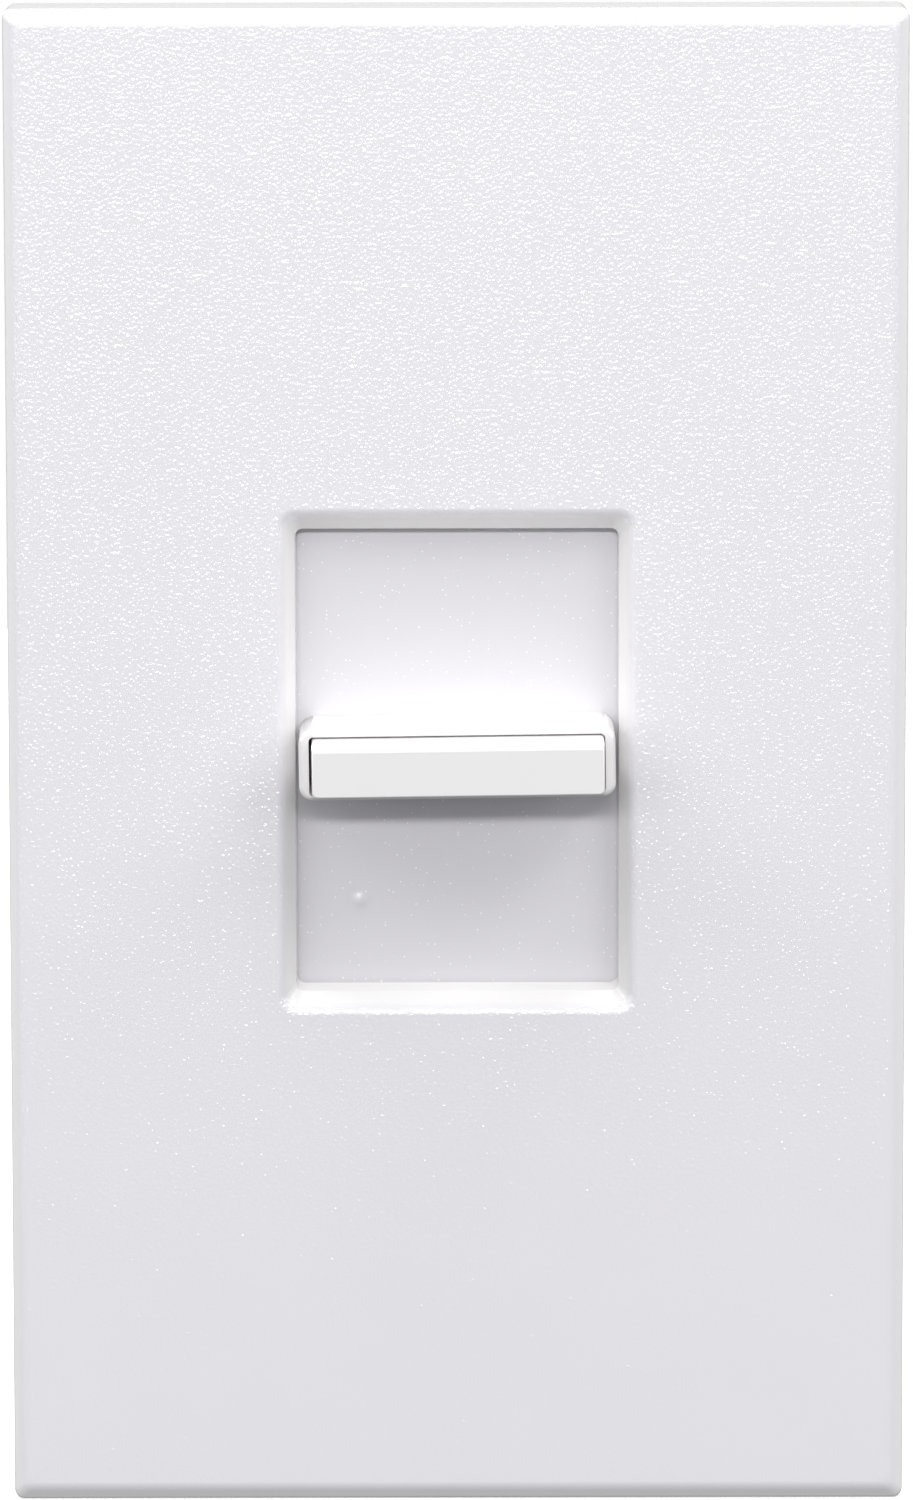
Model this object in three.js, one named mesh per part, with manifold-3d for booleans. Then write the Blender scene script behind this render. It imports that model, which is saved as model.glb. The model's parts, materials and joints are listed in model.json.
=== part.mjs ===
// A slim wall dimmer: a captive slide sets the light level, and a push button in the slide's knob
// switches the load. Millimetres. +X is right, +Z is up and the user stands at -Y. The origin is on the
// wall, midway between the two wall-box screws, so everything at +Y is inside the wall box.
import * as THREE from "three";
import { mergeVertices } from "three/addons/utils/BufferGeometryUtils.js";
import Module from "manifold-3d";

const wasm = await Module();
wasm.setup();

// ---------------------------------------------------------------- driving dimensions

const FIT = 0.05; // between two pieces that are fastened together
const RUN = 0.15; // between two pieces that slide on each other

const FACE = { width: 69.85, height: 117.2, depth: 7.6, wall: 2.2, side: 2.1, corner: 0.6 };
const EDGE = { inset: 1.0, depth: 0.8 }; // the bevel round the faceplate's front
const WINDOW = { width: 25.2, height: 36.4, corner: 0.6, flare: 1.072, flareDepth: 1.2 };

const TRAVEL = { up: 13.2, down: 14.8, press: 1 }; // the slide's from the modelled pose, and the button's
const SLIDE_Z = 0.7; // the knob's centre in that pose
const KNOB_LEAN = THREE.MathUtils.degToRad(-0.7); // the play of its clips: the right end stands higher

const STRAP = { width: 63.6, height: 109, thick: 2.4, corner: 1.5 };
const STRAP_WINDOW = { width: 26, height: 42 };
const BOX_SCREW = { z: 41.67, radius: 1.7, headRadius: 3.4, headDepth: 1.5, slot: 1, length: 25.4 };

const SHUTTER = { width: 28, height: 67, thick: 0.8, recess: 2.8 };
const KNOB = { width: 24.5, height: 5.5, corner: 0.8, edge: 0.25, proud: 8.1 };
const RIM = { side: 0.8, top: 0.55, bottom: 0.33 }; // the knob frame's walls round the button
const BUTTON = { x: 0.08, width: 22.6, height: 4.44, corner: 0.3, proud: 1.6, length: 5.1, gap: 0.1 };
const BUTTON_SLOPE = { height: 1, depth: 0.8 }; // the long bevel along its top edge
const PLUNGER = { x: 6, radius: 1.2 }; // the button's, which reaches the press bar behind the shutter
const POT = { x: -7, width: 9, height: 45, depth: 6.8, front: 3, wall: 0.6 };
const SWITCH = { x: 6, width: 10, height: 13, depth: 6.6, front: 3.2, bore: 4.4 };
const BAR = { width: 3.6, height: 39, front: -1.6, thick: 2, postZ: 17.5, postRadius: 1, postBack: 7.5 };

const HOUSING = { width: 44, height: 70, depth: 29.7, wall: 1.6, corner: 2.5 };
const BOSS = { x: 19.2, z: 31.2, radius: 2.3, depth: 9 };
const BOARD = { width: 40, height: 64, thick: 1.6, front: 10, notch: 5.6 };
const TERMINAL = { high: -8, low: -24 }; // z of the two terminals on each side
const POCKET = { height: 11, y: [14, 27.5], depth: 3.6, wall: 1.2 }; // the recess round each

const TRIAC = { x: 0, z: 27.8, front: 0.4, width: 10.2, body: 9.2, thick: 4.5, tab: 15.4, tabThick: 1.27 };
const TRIAC_HOLE = { x: TRIAC.x + 12.7, z: TRIAC.z };
const TRIAC_LEAD = { pitch: 2.54, x: -3, width: 0.7, y: [2.6, 3.1] }; // bent back through the board
const CHOKE = { x: -6, z: 12, inner: 7, outer: 12.5, height: 9, wire: 1.1, front: 13.4 };
const FILM_CAP = { x: 3, z: -24, width: 18, height: 7.5, depth: 13, pitch: 15 };
const SMALL_CAP = { x: 8, z: -10, width: 3.2, height: 7.5, depth: 7, pitch: 5 };
const RESISTORS = [{ x: -9, z: -6.5 }, { x: -9, z: -11 }];
const DIAC = { x: -9, z: -15.2 };
const AXIAL_PITCH = 10; // between the two board holes of a resistor or the diac
const LEAD = { radius: 0.35, hole: 0.6, past: 0.15 }; // legs, and how far they stand out of the board

// Depths that follow from those: y of each layer, from the front backwards.
const Y = {
  face: -FACE.depth,
  faceBack: -FACE.depth + FACE.wall,
  shutter: -FACE.depth + SHUTTER.recess,
  shutterBack: -FACE.depth + SHUTTER.recess + SHUTTER.thick,
  knob: -FACE.depth + SHUTTER.recess - KNOB.proud,
  strap: -STRAP.thick,
  boardBack: BOARD.front + BOARD.thick,
  housing: 0.3,
};
Y.button = Y.knob - BUTTON.proud;
Y.buttonBack = Y.button + BUTTON.length;
Y.floor = Y.buttonBack + TRAVEL.press + 0.4; // the floor of the pocket that the button drops into
Y.floorBack = Y.floor + 0.8;
const PIN_BACK = Y.boardBack - 0.1; // where the pins of what stands on the board's front end

// ---------------------------------------------------------------- solids from three.js geometry

// A closed geometry as a solid that can be cut and joined.
function solid(geometry) {
  const bare = geometry.index ? geometry.toNonIndexed() : geometry;
  bare.deleteAttribute("normal");
  bare.deleteAttribute("uv");
  const merged = mergeVertices(bare, 1e-4);
  const made = new wasm.Mesh({
    numProp: 3,
    vertProperties: merged.attributes.position.array,
    triVerts: new Uint32Array(merged.index.array),
  });
  return new wasm.Manifold(made);
}

function join(first, ...others) {
  return others.reduce((sum, other) => sum.add(other), first);
}

function cut(first, ...others) {
  return others.reduce((rest, other) => rest.subtract(other), first);
}

// A box between two coordinates on each axis.
function block(x, y, z) {
  const geometry = new THREE.BoxGeometry(x[1] - x[0], y[1] - y[0], z[1] - z[0]);
  return solid(geometry.translate((x[0] + x[1]) / 2, (y[0] + y[1]) / 2, (z[0] + z[1]) / 2));
}

// A box centred on x and z, between two depths.
function bar(x, z, width, height, y) {
  return block([x - width / 2, x + width / 2], y, [z - height / 2, z + height / 2]);
}

// A round rod, or a cone where endRadius differs, along one axis through the point at.
function rod(axis, radius, at, span, sides = 16, endRadius = radius) {
  const geometry = new THREE.CylinderGeometry(endRadius, radius, span[1] - span[0], sides);
  geometry.translate(0, (span[0] + span[1]) / 2, 0);
  if (axis === "x") geometry.rotateZ(-Math.PI / 2);
  if (axis === "z") geometry.rotateX(Math.PI / 2);
  return solid(geometry.translate(at.x ?? 0, at.y ?? 0, at.z ?? 0));
}

// A rectangle with round corners, drawn as the user sees it: x to the right and z up.
function roundedRectangle(width, height, radius, x = 0, z = 0) {
  const [right, top] = [width / 2 - radius, height / 2 - radius];
  const shape = new THREE.Shape();
  shape.absarc(x + right, z + top, radius, 0, Math.PI / 2);
  shape.absarc(x - right, z + top, radius, Math.PI / 2, Math.PI);
  shape.absarc(x - right, z - top, radius, Math.PI, 1.5 * Math.PI);
  shape.absarc(x + right, z - top, radius, 1.5 * Math.PI, 2 * Math.PI);
  return shape;
}

// A drawn outline as a slab between two depths. frontScale makes its front larger or smaller than its back.
function slab(shape, y, frontScale = [1, 1]) {
  const geometry = new THREE.ExtrudeGeometry(shape, {
    depth: y[1] - y[0],
    bevelEnabled: false,
    curveSegments: 4,
  });
  const position = geometry.attributes.position;
  for (let i = 0; i < position.count; i++) {
    if (position.getZ(i) <= 0) continue;
    position.setX(i, position.getX(i) * frontScale[0]);
    position.setY(i, position.getY(i) * frontScale[1]);
  }
  return solid(geometry.rotateX(Math.PI / 2).translate(0, y[1], 0));
}

// A round wire or strip along a curve, with flat ends.
function sweep(curve, section, steps) {
  return solid(new THREE.ExtrudeGeometry(section, { extrudePath: curve, steps, curveSegments: 2 }));
}

function disc(radius) {
  return new THREE.Shape().absarc(0, 0, radius, 0, 2 * Math.PI);
}

// A compression spring's centre line, along Y.
class Helix extends THREE.Curve {
  constructor(x, z, radius, y, turns) {
    super();
    Object.assign(this, { x, z, radius, y, turns });
  }
  getPoint(t, target = new THREE.Vector3()) {
    const angle = 2 * Math.PI * this.turns * t;
    const depth = this.y[0] + (this.y[1] - this.y[0]) * t;
    return target.set(this.x + this.radius * Math.cos(angle), depth, this.z + this.radius * Math.sin(angle));
  }
}

function spring(x, z, radius, wire, y, turns) {
  const ends = [y[0] + wire, y[1] - wire];
  return sweep(new Helix(x, z, radius - wire, ends, turns), disc(wire), turns * 10);
}

// ---------------------------------------------------------------- materials and the assembly

const COLOURS = {
  textured_white: [0xe6e5e8, 0.5, 0],
  satin_white: [0xe9e8ea, 0.42, 0],
  knob_white: [0xf1f0ef, 0.32, 0],
  aluminium: [0xb9bbbd, 0.42, 1],
  black_plastic: [0x1d1e20, 0.55, 0],
  grey_plastic: [0x6d7074, 0.6, 0],
  natural_nylon: [0xd9d2bf, 0.5, 0],
  board: [0x2f6b3c, 0.6, 0],
  phenolic: [0x5b3a1e, 0.7, 0],
  zinc_steel: [0xb4b7ba, 0.35, 1],
  spring_steel: [0x8d9094, 0.3, 1],
  brass: [0xc9a24b, 0.35, 1],
  green_screw: [0x2e8b45, 0.45, 0.6],
  dark_screw: [0x3a3a3c, 0.45, 0.8],
  epoxy: [0x161617, 0.6, 0],
  ferrite: [0x3f4245, 0.75, 0],
  enamelled_copper: [0xb3632b, 0.3, 0.8],
  film_yellow: [0xd8a321, 0.45, 0],
  resistor_tan: [0xc9a878, 0.6, 0],
  diac_blue: [0x3b6fb5, 0.35, 0],
  heat_pad: [0xaab4bf, 0.8, 0],
};

const dimmer = new THREE.Group();
dimmer.name = "dimmer_slide_switch";
const slide = new THREE.Group(); // everything that travels with the knob
slide.position.z = SLIDE_Z;
dimmer.add(slide);
const knob = new THREE.Group(); // the knob's frame with the button and its springs
knob.rotation.y = KNOB_LEAN;
slide.add(knob);

function add(name, colour, made, group = dimmer) {
  const [color, roughness, metalness] = COLOURS[colour];
  const { vertProperties, triVerts } = made.getMesh();
  const geometry = new THREE.BufferGeometry()
    .setAttribute("position", new THREE.BufferAttribute(new Float32Array(vertProperties), 3))
    .setIndex(new THREE.BufferAttribute(new Uint32Array(triVerts), 1));
  const mesh = new THREE.Mesh(geometry, new THREE.MeshStandardMaterial({ color, roughness, metalness }));
  mesh.name = name;
  group.add(mesh);
}

const both = [-1, 1]; // left and right, or bottom and top
const between = (a, b) => [Math.min(a, b), Math.max(a, b)]; // the same span on either side

// ---------------------------------------------------------------- front: faceplate, strap and slide guide

// The hooks inside the faceplate's long sides catch under the strap's undercut edge.
const HOOK = { z: 36, length: 8, reach: 1.6, y: [-1.15, -0.25] };
const SCREW_SLOT = { width: 8, height: 4, corner: 1.9 }; // where a wall-box screw goes through the strap
const SCREW_POCKET = { width: 12, height: 7.6, corner: 3.7 }; // round it, for the head
const SINK = { radius: 2.9, depth: 1.3, hole: 1.6 }; // for a housing screw's head, and its hole
const SCORE = { x: 24, width: 0.6, front: 0.8, back: 0.5 }; // the break-off lines down the strap's sides
const DIMPLE = { x: 27.6, width: 4.4, height: 9, depth: 1, rows: [-20, 0, 20] }; // pressed into those sides
const STAKE = { x: 15.2, z: 46, radius: 1.1, hole: 1.3, back: 0.4 }; // the guide's, through the strap
const RAIL = { width: 1.6, height: 101, floor: 1, lip: 0.35, lipWidth: 2 };
const FORK = { gap: 3.7, prong: 1.2, width: 2, back: 0.6 }; // behind the shutter, round the control's lever
const RIB = { x: 12.8, width: 0.8 }; // what the shutter's back slides on

const HOOK_TIP = FACE.width / 2 - FACE.side - HOOK.reach;

function faceplate() {
  const outline = roundedRectangle(FACE.width, FACE.height, FACE.corner);
  const front = [1 - (2 * EDGE.inset) / FACE.width, 1 - (2 * EDGE.inset) / FACE.height];
  const bevelBack = Y.face + EDGE.depth;
  const skin = join(slab(outline, [Y.face, bevelBack], front), slab(outline, [bevelBack, 0]));
  const inside = [FACE.width - 2 * FACE.side, FACE.height - 2 * FACE.side];
  const cavity = bar(0, 0, inside[0], inside[1], [Y.faceBack, 1]);
  const hole = roundedRectangle(WINDOW.width, WINDOW.height, WINDOW.corner);
  const flareBack = Y.face + WINDOW.flareDepth;
  const past = 2 * WINDOW.flare - 1; // the flare carried on to as far again in front of the face
  const flare = slab(hole, [Y.face - WINDOW.flareDepth, flareBack], [past, past]);
  const shell = cut(skin, cavity, slab(hole, [Y.face, 0]), flare);
  const hooks = both.flatMap((side) =>
    both.map((end) => {
      const across = between(side * (inside[0] / 2 + 0.3), side * HOOK_TIP);
      return block(across, HOOK.y, [end * HOOK.z - HOOK.length / 2, end * HOOK.z + HOOK.length / 2]);
    }),
  );
  return join(shell, ...hooks);
}

// The strap is the dimmer's heat sink too. Its sides can be broken off beside another control.
function mountingPlate() {
  const plate = slab(roundedRectangle(STRAP.width, STRAP.height, STRAP.corner), [Y.strap, 0]);
  const through = [Y.strap - 1, 1];
  const cuts = [bar(0, 0, STRAP_WINDOW.width, STRAP_WINDOW.height, through)];
  for (const end of both) {
    const z = end * BOX_SCREW.z;
    const slot = roundedRectangle(SCREW_SLOT.width, SCREW_SLOT.height, SCREW_SLOT.corner, 0, z);
    const pocket = roundedRectangle(SCREW_POCKET.width, SCREW_POCKET.height, SCREW_POCKET.corner, 0, z);
    cuts.push(slab(slot, through), slab(pocket, [Y.strap - 1, Y.strap + BOX_SCREW.headDepth + 0.1]));
    for (const side of both) {
      const boss = { x: side * BOSS.x, z: end * BOSS.z };
      cuts.push(rod("y", SINK.hole, boss, through, 12));
      cuts.push(rod("y", SINK.radius, boss, [Y.strap - 1, Y.strap + SINK.depth], 16));
      cuts.push(rod("y", STAKE.hole, { x: side * STAKE.x, z: end * STAKE.z }, through, 10));
      const undercut = between(side * (STRAP.width / 2 + 1), side * (HOOK_TIP - 0.25));
      const reach = HOOK.length / 2 + 1;
      cuts.push(block(undercut, [HOOK.y[0] - RUN, 1], [end * HOOK.z - reach, end * HOOK.z + reach]));
    }
  }
  for (const side of both) {
    cuts.push(bar(side * SCORE.x, 0, SCORE.width, STRAP.height + 2, [Y.strap - 1, Y.strap + SCORE.front]));
    cuts.push(bar(side * SCORE.x, 0, SCORE.width, STRAP.height + 2, [-SCORE.back, 1]));
    const dimple = [Y.strap - 1, Y.strap + DIMPLE.depth];
    for (const z of DIMPLE.rows) cuts.push(bar(side * DIMPLE.x, z, DIMPLE.width, DIMPLE.height, dimple));
  }
  cuts.push(rod("y", 1.55, TRIAC_HOLE, [Y.strap + 0.5, 1], 12));
  return cut(plate, ...cuts);
}

// The moulding that holds the shutter captive between two lipped rails, in front of the strap.
function guideFrame() {
  const half = SHUTTER.width / 2 + 0.3;
  const front = Y.faceBack + 0.1;
  const floor = [Y.strap - RAIL.floor - FIT, Y.strap - FIT];
  const pieces = [bar(0, 0, 2 * (half + RAIL.width), RAIL.height, floor)];
  for (const side of both) {
    pieces.push(bar(side * (half + RAIL.width / 2), 0, RAIL.width, RAIL.height, [front, floor[1]]));
    pieces.push(bar(side * half, 0, RAIL.lipWidth, RAIL.height, [front, front + RAIL.lip]));
    pieces.push(bar(side * RIB.x, 0, RIB.width, RAIL.height, [Y.shutterBack + RUN, floor[1]]));
    for (const end of both) {
      const at = { x: side * STAKE.x, z: end * STAKE.z };
      pieces.push(rod("y", STAKE.radius, at, [floor[0], STAKE.back], 10));
    }
  }
  const through = [floor[0] - 0.5, 0];
  const slotHeight = 2 * (TRAVEL.down + 5);
  const cuts = [
    bar(POT.x, 0, FORK.width + 1.2, slotHeight, through),
    bar(PLUNGER.x, 0, 2 * PLUNGER.radius + 0.8, slotHeight - 2 * FORK.prong, through),
  ];
  for (const end of both) {
    cuts.push(rod("y", BOX_SCREW.headRadius + 1.2, { z: end * BOX_SCREW.z }, through, 20));
  }
  return cut(join(...pieces), ...cuts);
}

// ---------------------------------------------------------------- the slide: shutter, knob frame and button

const CLIP = { x: 10.2, width: 1.2, height: 3, hook: 0.5, past: 0.45 };
const GATE_MARK = { x: -7.7, z: -11.3, radius: 0.7, height: 0.15 };

function shutter() {
  const outline = roundedRectangle(SHUTTER.width, SHUTTER.height, 1);
  const depth = [Y.shutter, Y.shutterBack];
  const prongs = both.map((end) => {
    const z = end * (FORK.gap / 2 + FORK.prong / 2);
    return bar(POT.x, z, FORK.width, FORK.prong, [depth[0] + 0.2, FORK.back]);
  });
  const mark = [Y.shutter - GATE_MARK.height, Y.shutter + 0.2];
  const gate = rod("y", GATE_MARK.radius * 0.5, GATE_MARK, mark, 12, GATE_MARK.radius);
  const through = [Y.shutter - 1, Y.shutterBack + 0.1];
  const clips = both.map((side) =>
    bar(side * (CLIP.x + 0.2), 0, CLIP.width + 0.8, CLIP.height + 0.4, through),
  );
  const hole = rod("y", PLUNGER.radius + 0.4, { x: PLUNGER.x }, through, 12);
  return cut(join(slab(outline, depth), ...prongs, gate), hole, ...clips);
}

const POCKET_Z = (RIM.bottom - RIM.top) / 2; // the middle of the button's pocket
const LATCH = { x: 8, height: 2.4, width: 1.1, slot: 2.6, hook: 1.5, thick: 0.8 }; // keeps the button in

// The knob's outer frame: a deep rim, with a pocket for the button and clips that go through the shutter.
function knobFrame() {
  const outline = roundedRectangle(KNOB.width, KNOB.height, KNOB.corner);
  const shrink = [1 - (2 * KNOB.edge) / KNOB.width, 1 - (2 * KNOB.edge) / KNOB.height];
  const body = join(
    slab(outline, [Y.knob, Y.knob + KNOB.edge], shrink),
    slab(outline, [Y.knob + KNOB.edge, Y.shutter - FIT]),
  );
  const inside = [KNOB.width - 2 * RIM.side, KNOB.height - RIM.top - RIM.bottom];
  const pocket = roundedRectangle(inside[0], inside[1], BUTTON.corner + 0.05, 0, POCKET_Z);
  const floor = [Y.floor - 1, Y.floorBack + 1];
  const cuts = [
    slab(pocket, [Y.knob - 1, Y.floor]),
    bar(0, POCKET_Z, inside[0] - 1, inside[1] - 0.6, [Y.floorBack, Y.shutter + 1]),
    rod("y", PLUNGER.radius + 0.25, { x: PLUNGER.x, z: POCKET_Z }, floor, 12),
    ...both.map((side) => bar(side * LATCH.x, POCKET_Z, LATCH.slot, LATCH.height + 0.5, floor)),
  ];
  const clips = both.flatMap((side) => {
    const hookX = side * (CLIP.x + CLIP.width / 2);
    const clipBack = Y.shutterBack + CLIP.past;
    return [
      bar(side * CLIP.x, 0, CLIP.width, CLIP.height, [Y.floorBack - 0.1, clipBack]),
      bar(hookX, 0, CLIP.hook * 2, CLIP.height, [Y.shutterBack + FIT, clipBack]),
    ];
  });
  return join(cut(body, ...cuts), ...clips);
}

const BUTTON_SPRING = { x: [-4, 1], radius: 1.5, wire: 0.2, turns: 4, seat: 1.6 };

// The button's middle in z: it sits low in the pocket, on the frame's bottom rim.
const BUTTON_Z = -KNOB.height / 2 + RIM.bottom + BUTTON.gap + BUTTON.height / 2;

function buttonCap() {
  const outline = roundedRectangle(BUTTON.width, BUTTON.height, BUTTON.corner, BUTTON.x, BUTTON_Z);
  const top = BUTTON_Z + BUTTON.height / 2;
  const past = 1; // how far the piece that cuts the slope stands out of the button
  const slope = new THREE.Shape([
    new THREE.Vector2(Y.button - past, top + past),
    new THREE.Vector2(Y.button - past, top - BUTTON_SLOPE.height * (1 + past / BUTTON_SLOPE.depth)),
    new THREE.Vector2(Y.button + BUTTON_SLOPE.depth, top),
    new THREE.Vector2(Y.button + BUTTON_SLOPE.depth, top + past),
  ]);
  const wedge = new THREE.ExtrudeGeometry(slope, { depth: BUTTON.width + 2 * past, bevelEnabled: false });
  // drawn in depth and height, then turned so that its length runs along X
  wedge.translate(0, 0, BUTTON.x - BUTTON.width / 2 - past).applyMatrix4(
    new THREE.Matrix4().makeBasis(
      new THREE.Vector3(0, 1, 0),
      new THREE.Vector3(0, 0, 1),
      new THREE.Vector3(1, 0, 0),
    ),
  );
  const seat = [Y.buttonBack - BUTTON_SPRING.seat, Y.buttonBack + 1];
  const seats = BUTTON_SPRING.x.map((x) =>
    rod("y", BUTTON_SPRING.radius + 0.2, { x, z: BUTTON_Z }, seat, 16),
  );
  const body = cut(slab(outline, [Y.button, Y.buttonBack]), solid(wedge), ...seats);
  const plunger = { x: PLUNGER.x, z: POCKET_Z };
  const reach = [Y.buttonBack - 1, BAR.front - RUN];
  const hook = [Y.floorBack + 0.1, Y.floorBack + 0.1 + LATCH.thick];
  const latches = both.flatMap((side) => [
    bar(side * (LATCH.x - 0.5), POCKET_Z, LATCH.width, LATCH.height, [Y.buttonBack - 1, hook[1]]),
    bar(side * (LATCH.x + 0.6), POCKET_Z, LATCH.hook, LATCH.height, hook),
  ]);
  return join(body, rod("y", PLUNGER.radius, plunger, reach, 12), ...latches);
}

// ---------------------------------------------------------------- the slide potentiometer

const TRACK_BACK = POT.front + POT.depth - 0.1;
const TRACK_FRONT = TRACK_BACK - 0.6;
const CARRIAGE = { width: 6.8, height: 7, y: [POT.front + 1.1, POT.front + 4.6] };
const LEVER = { width: 1.2, height: 3.4, front: -1.5, seat: 2 };
const POT_TAB = { x: POT.width / 2 - 0.3, z: 18, width: 0.6, height: 2 };
const WIPER = { x: 2, width: 1, thick: 0.3, bridge: 5.6 };

function potCase() {
  const y = [POT.front, POT.front + POT.depth];
  const shell = bar(POT.x, 0, POT.width, POT.height, y);
  const inside = [POT.width - 2 * POT.wall, POT.height - 2 * POT.wall];
  const hollow = bar(POT.x, 0, inside[0], inside[1], [y[0] + POT.wall, y[1] + 1]);
  const slot = bar(POT.x, 0, LEVER.width + 1, 2 * TRAVEL.down + LEVER.height + 2, [y[0] - 1, y[1]]);
  const tabs = both.flatMap((side) =>
    both.map((end) =>
      bar(POT.x + side * POT_TAB.x, end * POT_TAB.z, POT_TAB.width, POT_TAB.height, [y[1] - 0.2, PIN_BACK]),
    ),
  );
  return join(cut(shell, hollow, slot), ...tabs);
}

function potTrack() {
  const play = 2 * POT.wall + 0.2;
  return bar(POT.x, 0, POT.width - play, POT.height - play, [TRACK_FRONT, TRACK_BACK]);
}

function potCarriage() {
  const body = bar(POT.x, 0, CARRIAGE.width, CARRIAGE.height, CARRIAGE.y);
  const seat = [CARRIAGE.y[0] - 1, CARRIAGE.y[0] + LEVER.seat];
  return cut(body, bar(POT.x, 0, LEVER.width + 2 * FIT, LEVER.height + 2 * FIT, seat));
}

function potLever() {
  return bar(POT.x, 0, LEVER.width, LEVER.height, [LEVER.front, CARRIAGE.y[0] + LEVER.seat - 0.1]);
}

// Two bent contact fingers on a crossbar, which bridge the track and its collector strip.
function potWiper() {
  const root = [CARRIAGE.y[1] + FIT, CARRIAGE.y[1] + FIT + WIPER.thick];
  const pieces = [bar(POT.x, 1.5, WIPER.bridge, 2, root)];
  for (const side of both) {
    const x = POT.x + side * WIPER.x;
    pieces.push(bar(x, 0, WIPER.width, 3.4, root));
    pieces.push(bar(x, -1.4, WIPER.width, 0.8, [root[0], TRACK_FRONT - 0.1]));
  }
  return join(...pieces);
}

// ---------------------------------------------------------------- press bar and push switch

const GUIDE = { radius: 2.2, flange: 3, front: 4.4 }; // a bush for each of the bar's posts
const BAR_SPRING = { radius: 1.75, wire: 0.22, turns: 4 };
const SWITCH_SPRING = { radius: 1.4, wire: 0.18, turns: 3 };
const SWITCH_PIN = { x: 3.5, z: 4.5, width: 0.5, height: 1.2 };
const KEY = { width: 3.2, height: 4.2, step: 0.5 }; // the switch's plunger, which is narrower in front

// The bar lies behind the shutter along the whole travel, so the button works it wherever the knob stands.
function pressBar() {
  const y = [BAR.front, BAR.front + BAR.thick];
  const rib = bar(PLUNGER.x, 0, 1.2, BAR.height - 9, [y[1] - 0.1, y[1] + 0.5]);
  const pad = cut(rib, bar(PLUNGER.x, 0, 3, 6, [y[1], y[1] + 1]));
  const posts = both.map((end) =>
    rod("y", BAR.postRadius, { x: PLUNGER.x, z: end * BAR.postZ }, [y[0] + 1, BAR.postBack], 12),
  );
  return join(slab(roundedRectangle(BAR.width, BAR.height, 1.2, PLUNGER.x, 0), y), pad, ...posts);
}

function barGuide(end) {
  const at = { x: PLUNGER.x, z: end * BAR.postZ };
  const back = BOARD.front - FIT;
  const bush = rod("y", GUIDE.radius, at, [GUIDE.front, back], 16);
  const flange = rod("y", GUIDE.flange, at, [back - 0.95, back], 16);
  return cut(join(bush, flange), rod("y", BAR.postRadius + RUN, at, [GUIDE.front - 1, BOARD.front + 1], 16));
}

function barSpring(end) {
  const y = [BAR.front + BAR.thick + FIT, GUIDE.front - FIT];
  return spring(PLUNGER.x, end * BAR.postZ, BAR_SPRING.radius, BAR_SPRING.wire, y, BAR_SPRING.turns);
}

function switchCase() {
  const y = [SWITCH.front, SWITCH.front + SWITCH.depth];
  const body = bar(SWITCH.x, 0, SWITCH.width, SWITCH.height, y);
  const bore = bar(SWITCH.x, 0, KEY.width + 0.4, KEY.height + 0.4, [y[0] - 1, y[0] + SWITCH.bore]);
  const pins = both.flatMap((side) =>
    both.map((end) => {
      const [x, z] = [SWITCH.x + side * SWITCH_PIN.x, end * SWITCH_PIN.z];
      return bar(x, z, SWITCH_PIN.width, SWITCH_PIN.height, [y[1] - 0.2, PIN_BACK]);
    }),
  );
  return join(cut(body, bore), ...pins);
}

function switchPlunger() {
  const front = BAR.front + BAR.thick + RUN;
  const back = SWITCH.front + SWITCH.bore / 2;
  return join(
    bar(SWITCH.x, 0, KEY.width, KEY.height, [front + 1.2, back]),
    bar(SWITCH.x, 0, KEY.width - 2 * KEY.step, KEY.height - 2.4 * KEY.step, [front, front + 1.4]),
  );
}

function switchSpring() {
  const y = [SWITCH.front + SWITCH.bore / 2 + FIT, SWITCH.front + SWITCH.bore - FIT];
  return spring(SWITCH.x, 0, SWITCH_SPRING.radius, SWITCH_SPRING.wire, y, SWITCH_SPRING.turns);
}

// ---------------------------------------------------------------- circuit board and its components

// Component legs: x and z of each hole in the board.
const CHOKE_TAIL = { x: 3, z: CHOKE.z - CHOKE.outer - 3, radius: 0.45 };
const legs = [
  ...both.map((side) => [FILM_CAP.x + (side * FILM_CAP.pitch) / 2, FILM_CAP.z]),
  ...both.map((end) => [SMALL_CAP.x, SMALL_CAP.z + (end * SMALL_CAP.pitch) / 2]),
  ...[...RESISTORS, DIAC].flatMap(({ x, z }) => both.map((side) => [x + (side * AXIAL_PITCH) / 2, z])),
  ...[-1, 0, 1].map((row) => [TRIAC.x + TRIAC_LEAD.x, TRIAC.z + row * TRIAC_LEAD.pitch]),
  ...both.map((side) => [CHOKE.x + side * CHOKE_TAIL.x, CHOKE_TAIL.z]),
];

function circuitBoard() {
  const board = bar(0, 0, BOARD.width, BOARD.height, [BOARD.front, Y.boardBack]);
  const through = [BOARD.front - 1, Y.boardBack + 1];
  const cuts = legs.map(([x, z]) => rod("y", LEAD.hole, { x, z }, through, 6));
  for (const side of both) {
    for (const end of both) {
      const corner = [side * (BOARD.width / 2), end * (BOARD.height / 2)];
      cuts.push(bar(corner[0], corner[1], 2 * BOARD.notch, 2 * BOARD.notch, through));
      const tab = [POT.x + side * POT_TAB.x, end * POT_TAB.z];
      const pin = [SWITCH.x + side * SWITCH_PIN.x, end * SWITCH_PIN.z];
      cuts.push(bar(...tab, POT_TAB.width + 0.4, POT_TAB.height + 0.6, through));
      cuts.push(bar(...pin, SWITCH_PIN.width + 0.5, SWITCH_PIN.height + 0.5, through));
    }
    for (const z of [TERMINAL.high, TERMINAL.low]) {
      cuts.push(bar(side * TAIL.x, z, TAIL.width + 0.6, TAIL.height + 0.8, through));
    }
  }
  return cut(board, ...cuts);
}

// Two straight legs through the board, from a given depth behind it.
function pair(points, from) {
  return points.map(([x, z]) => rod("y", LEAD.radius, { x, z }, [BOARD.front - LEAD.past, from], 6));
}

const STAND = 0.4; // between a capacitor and the board

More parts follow.
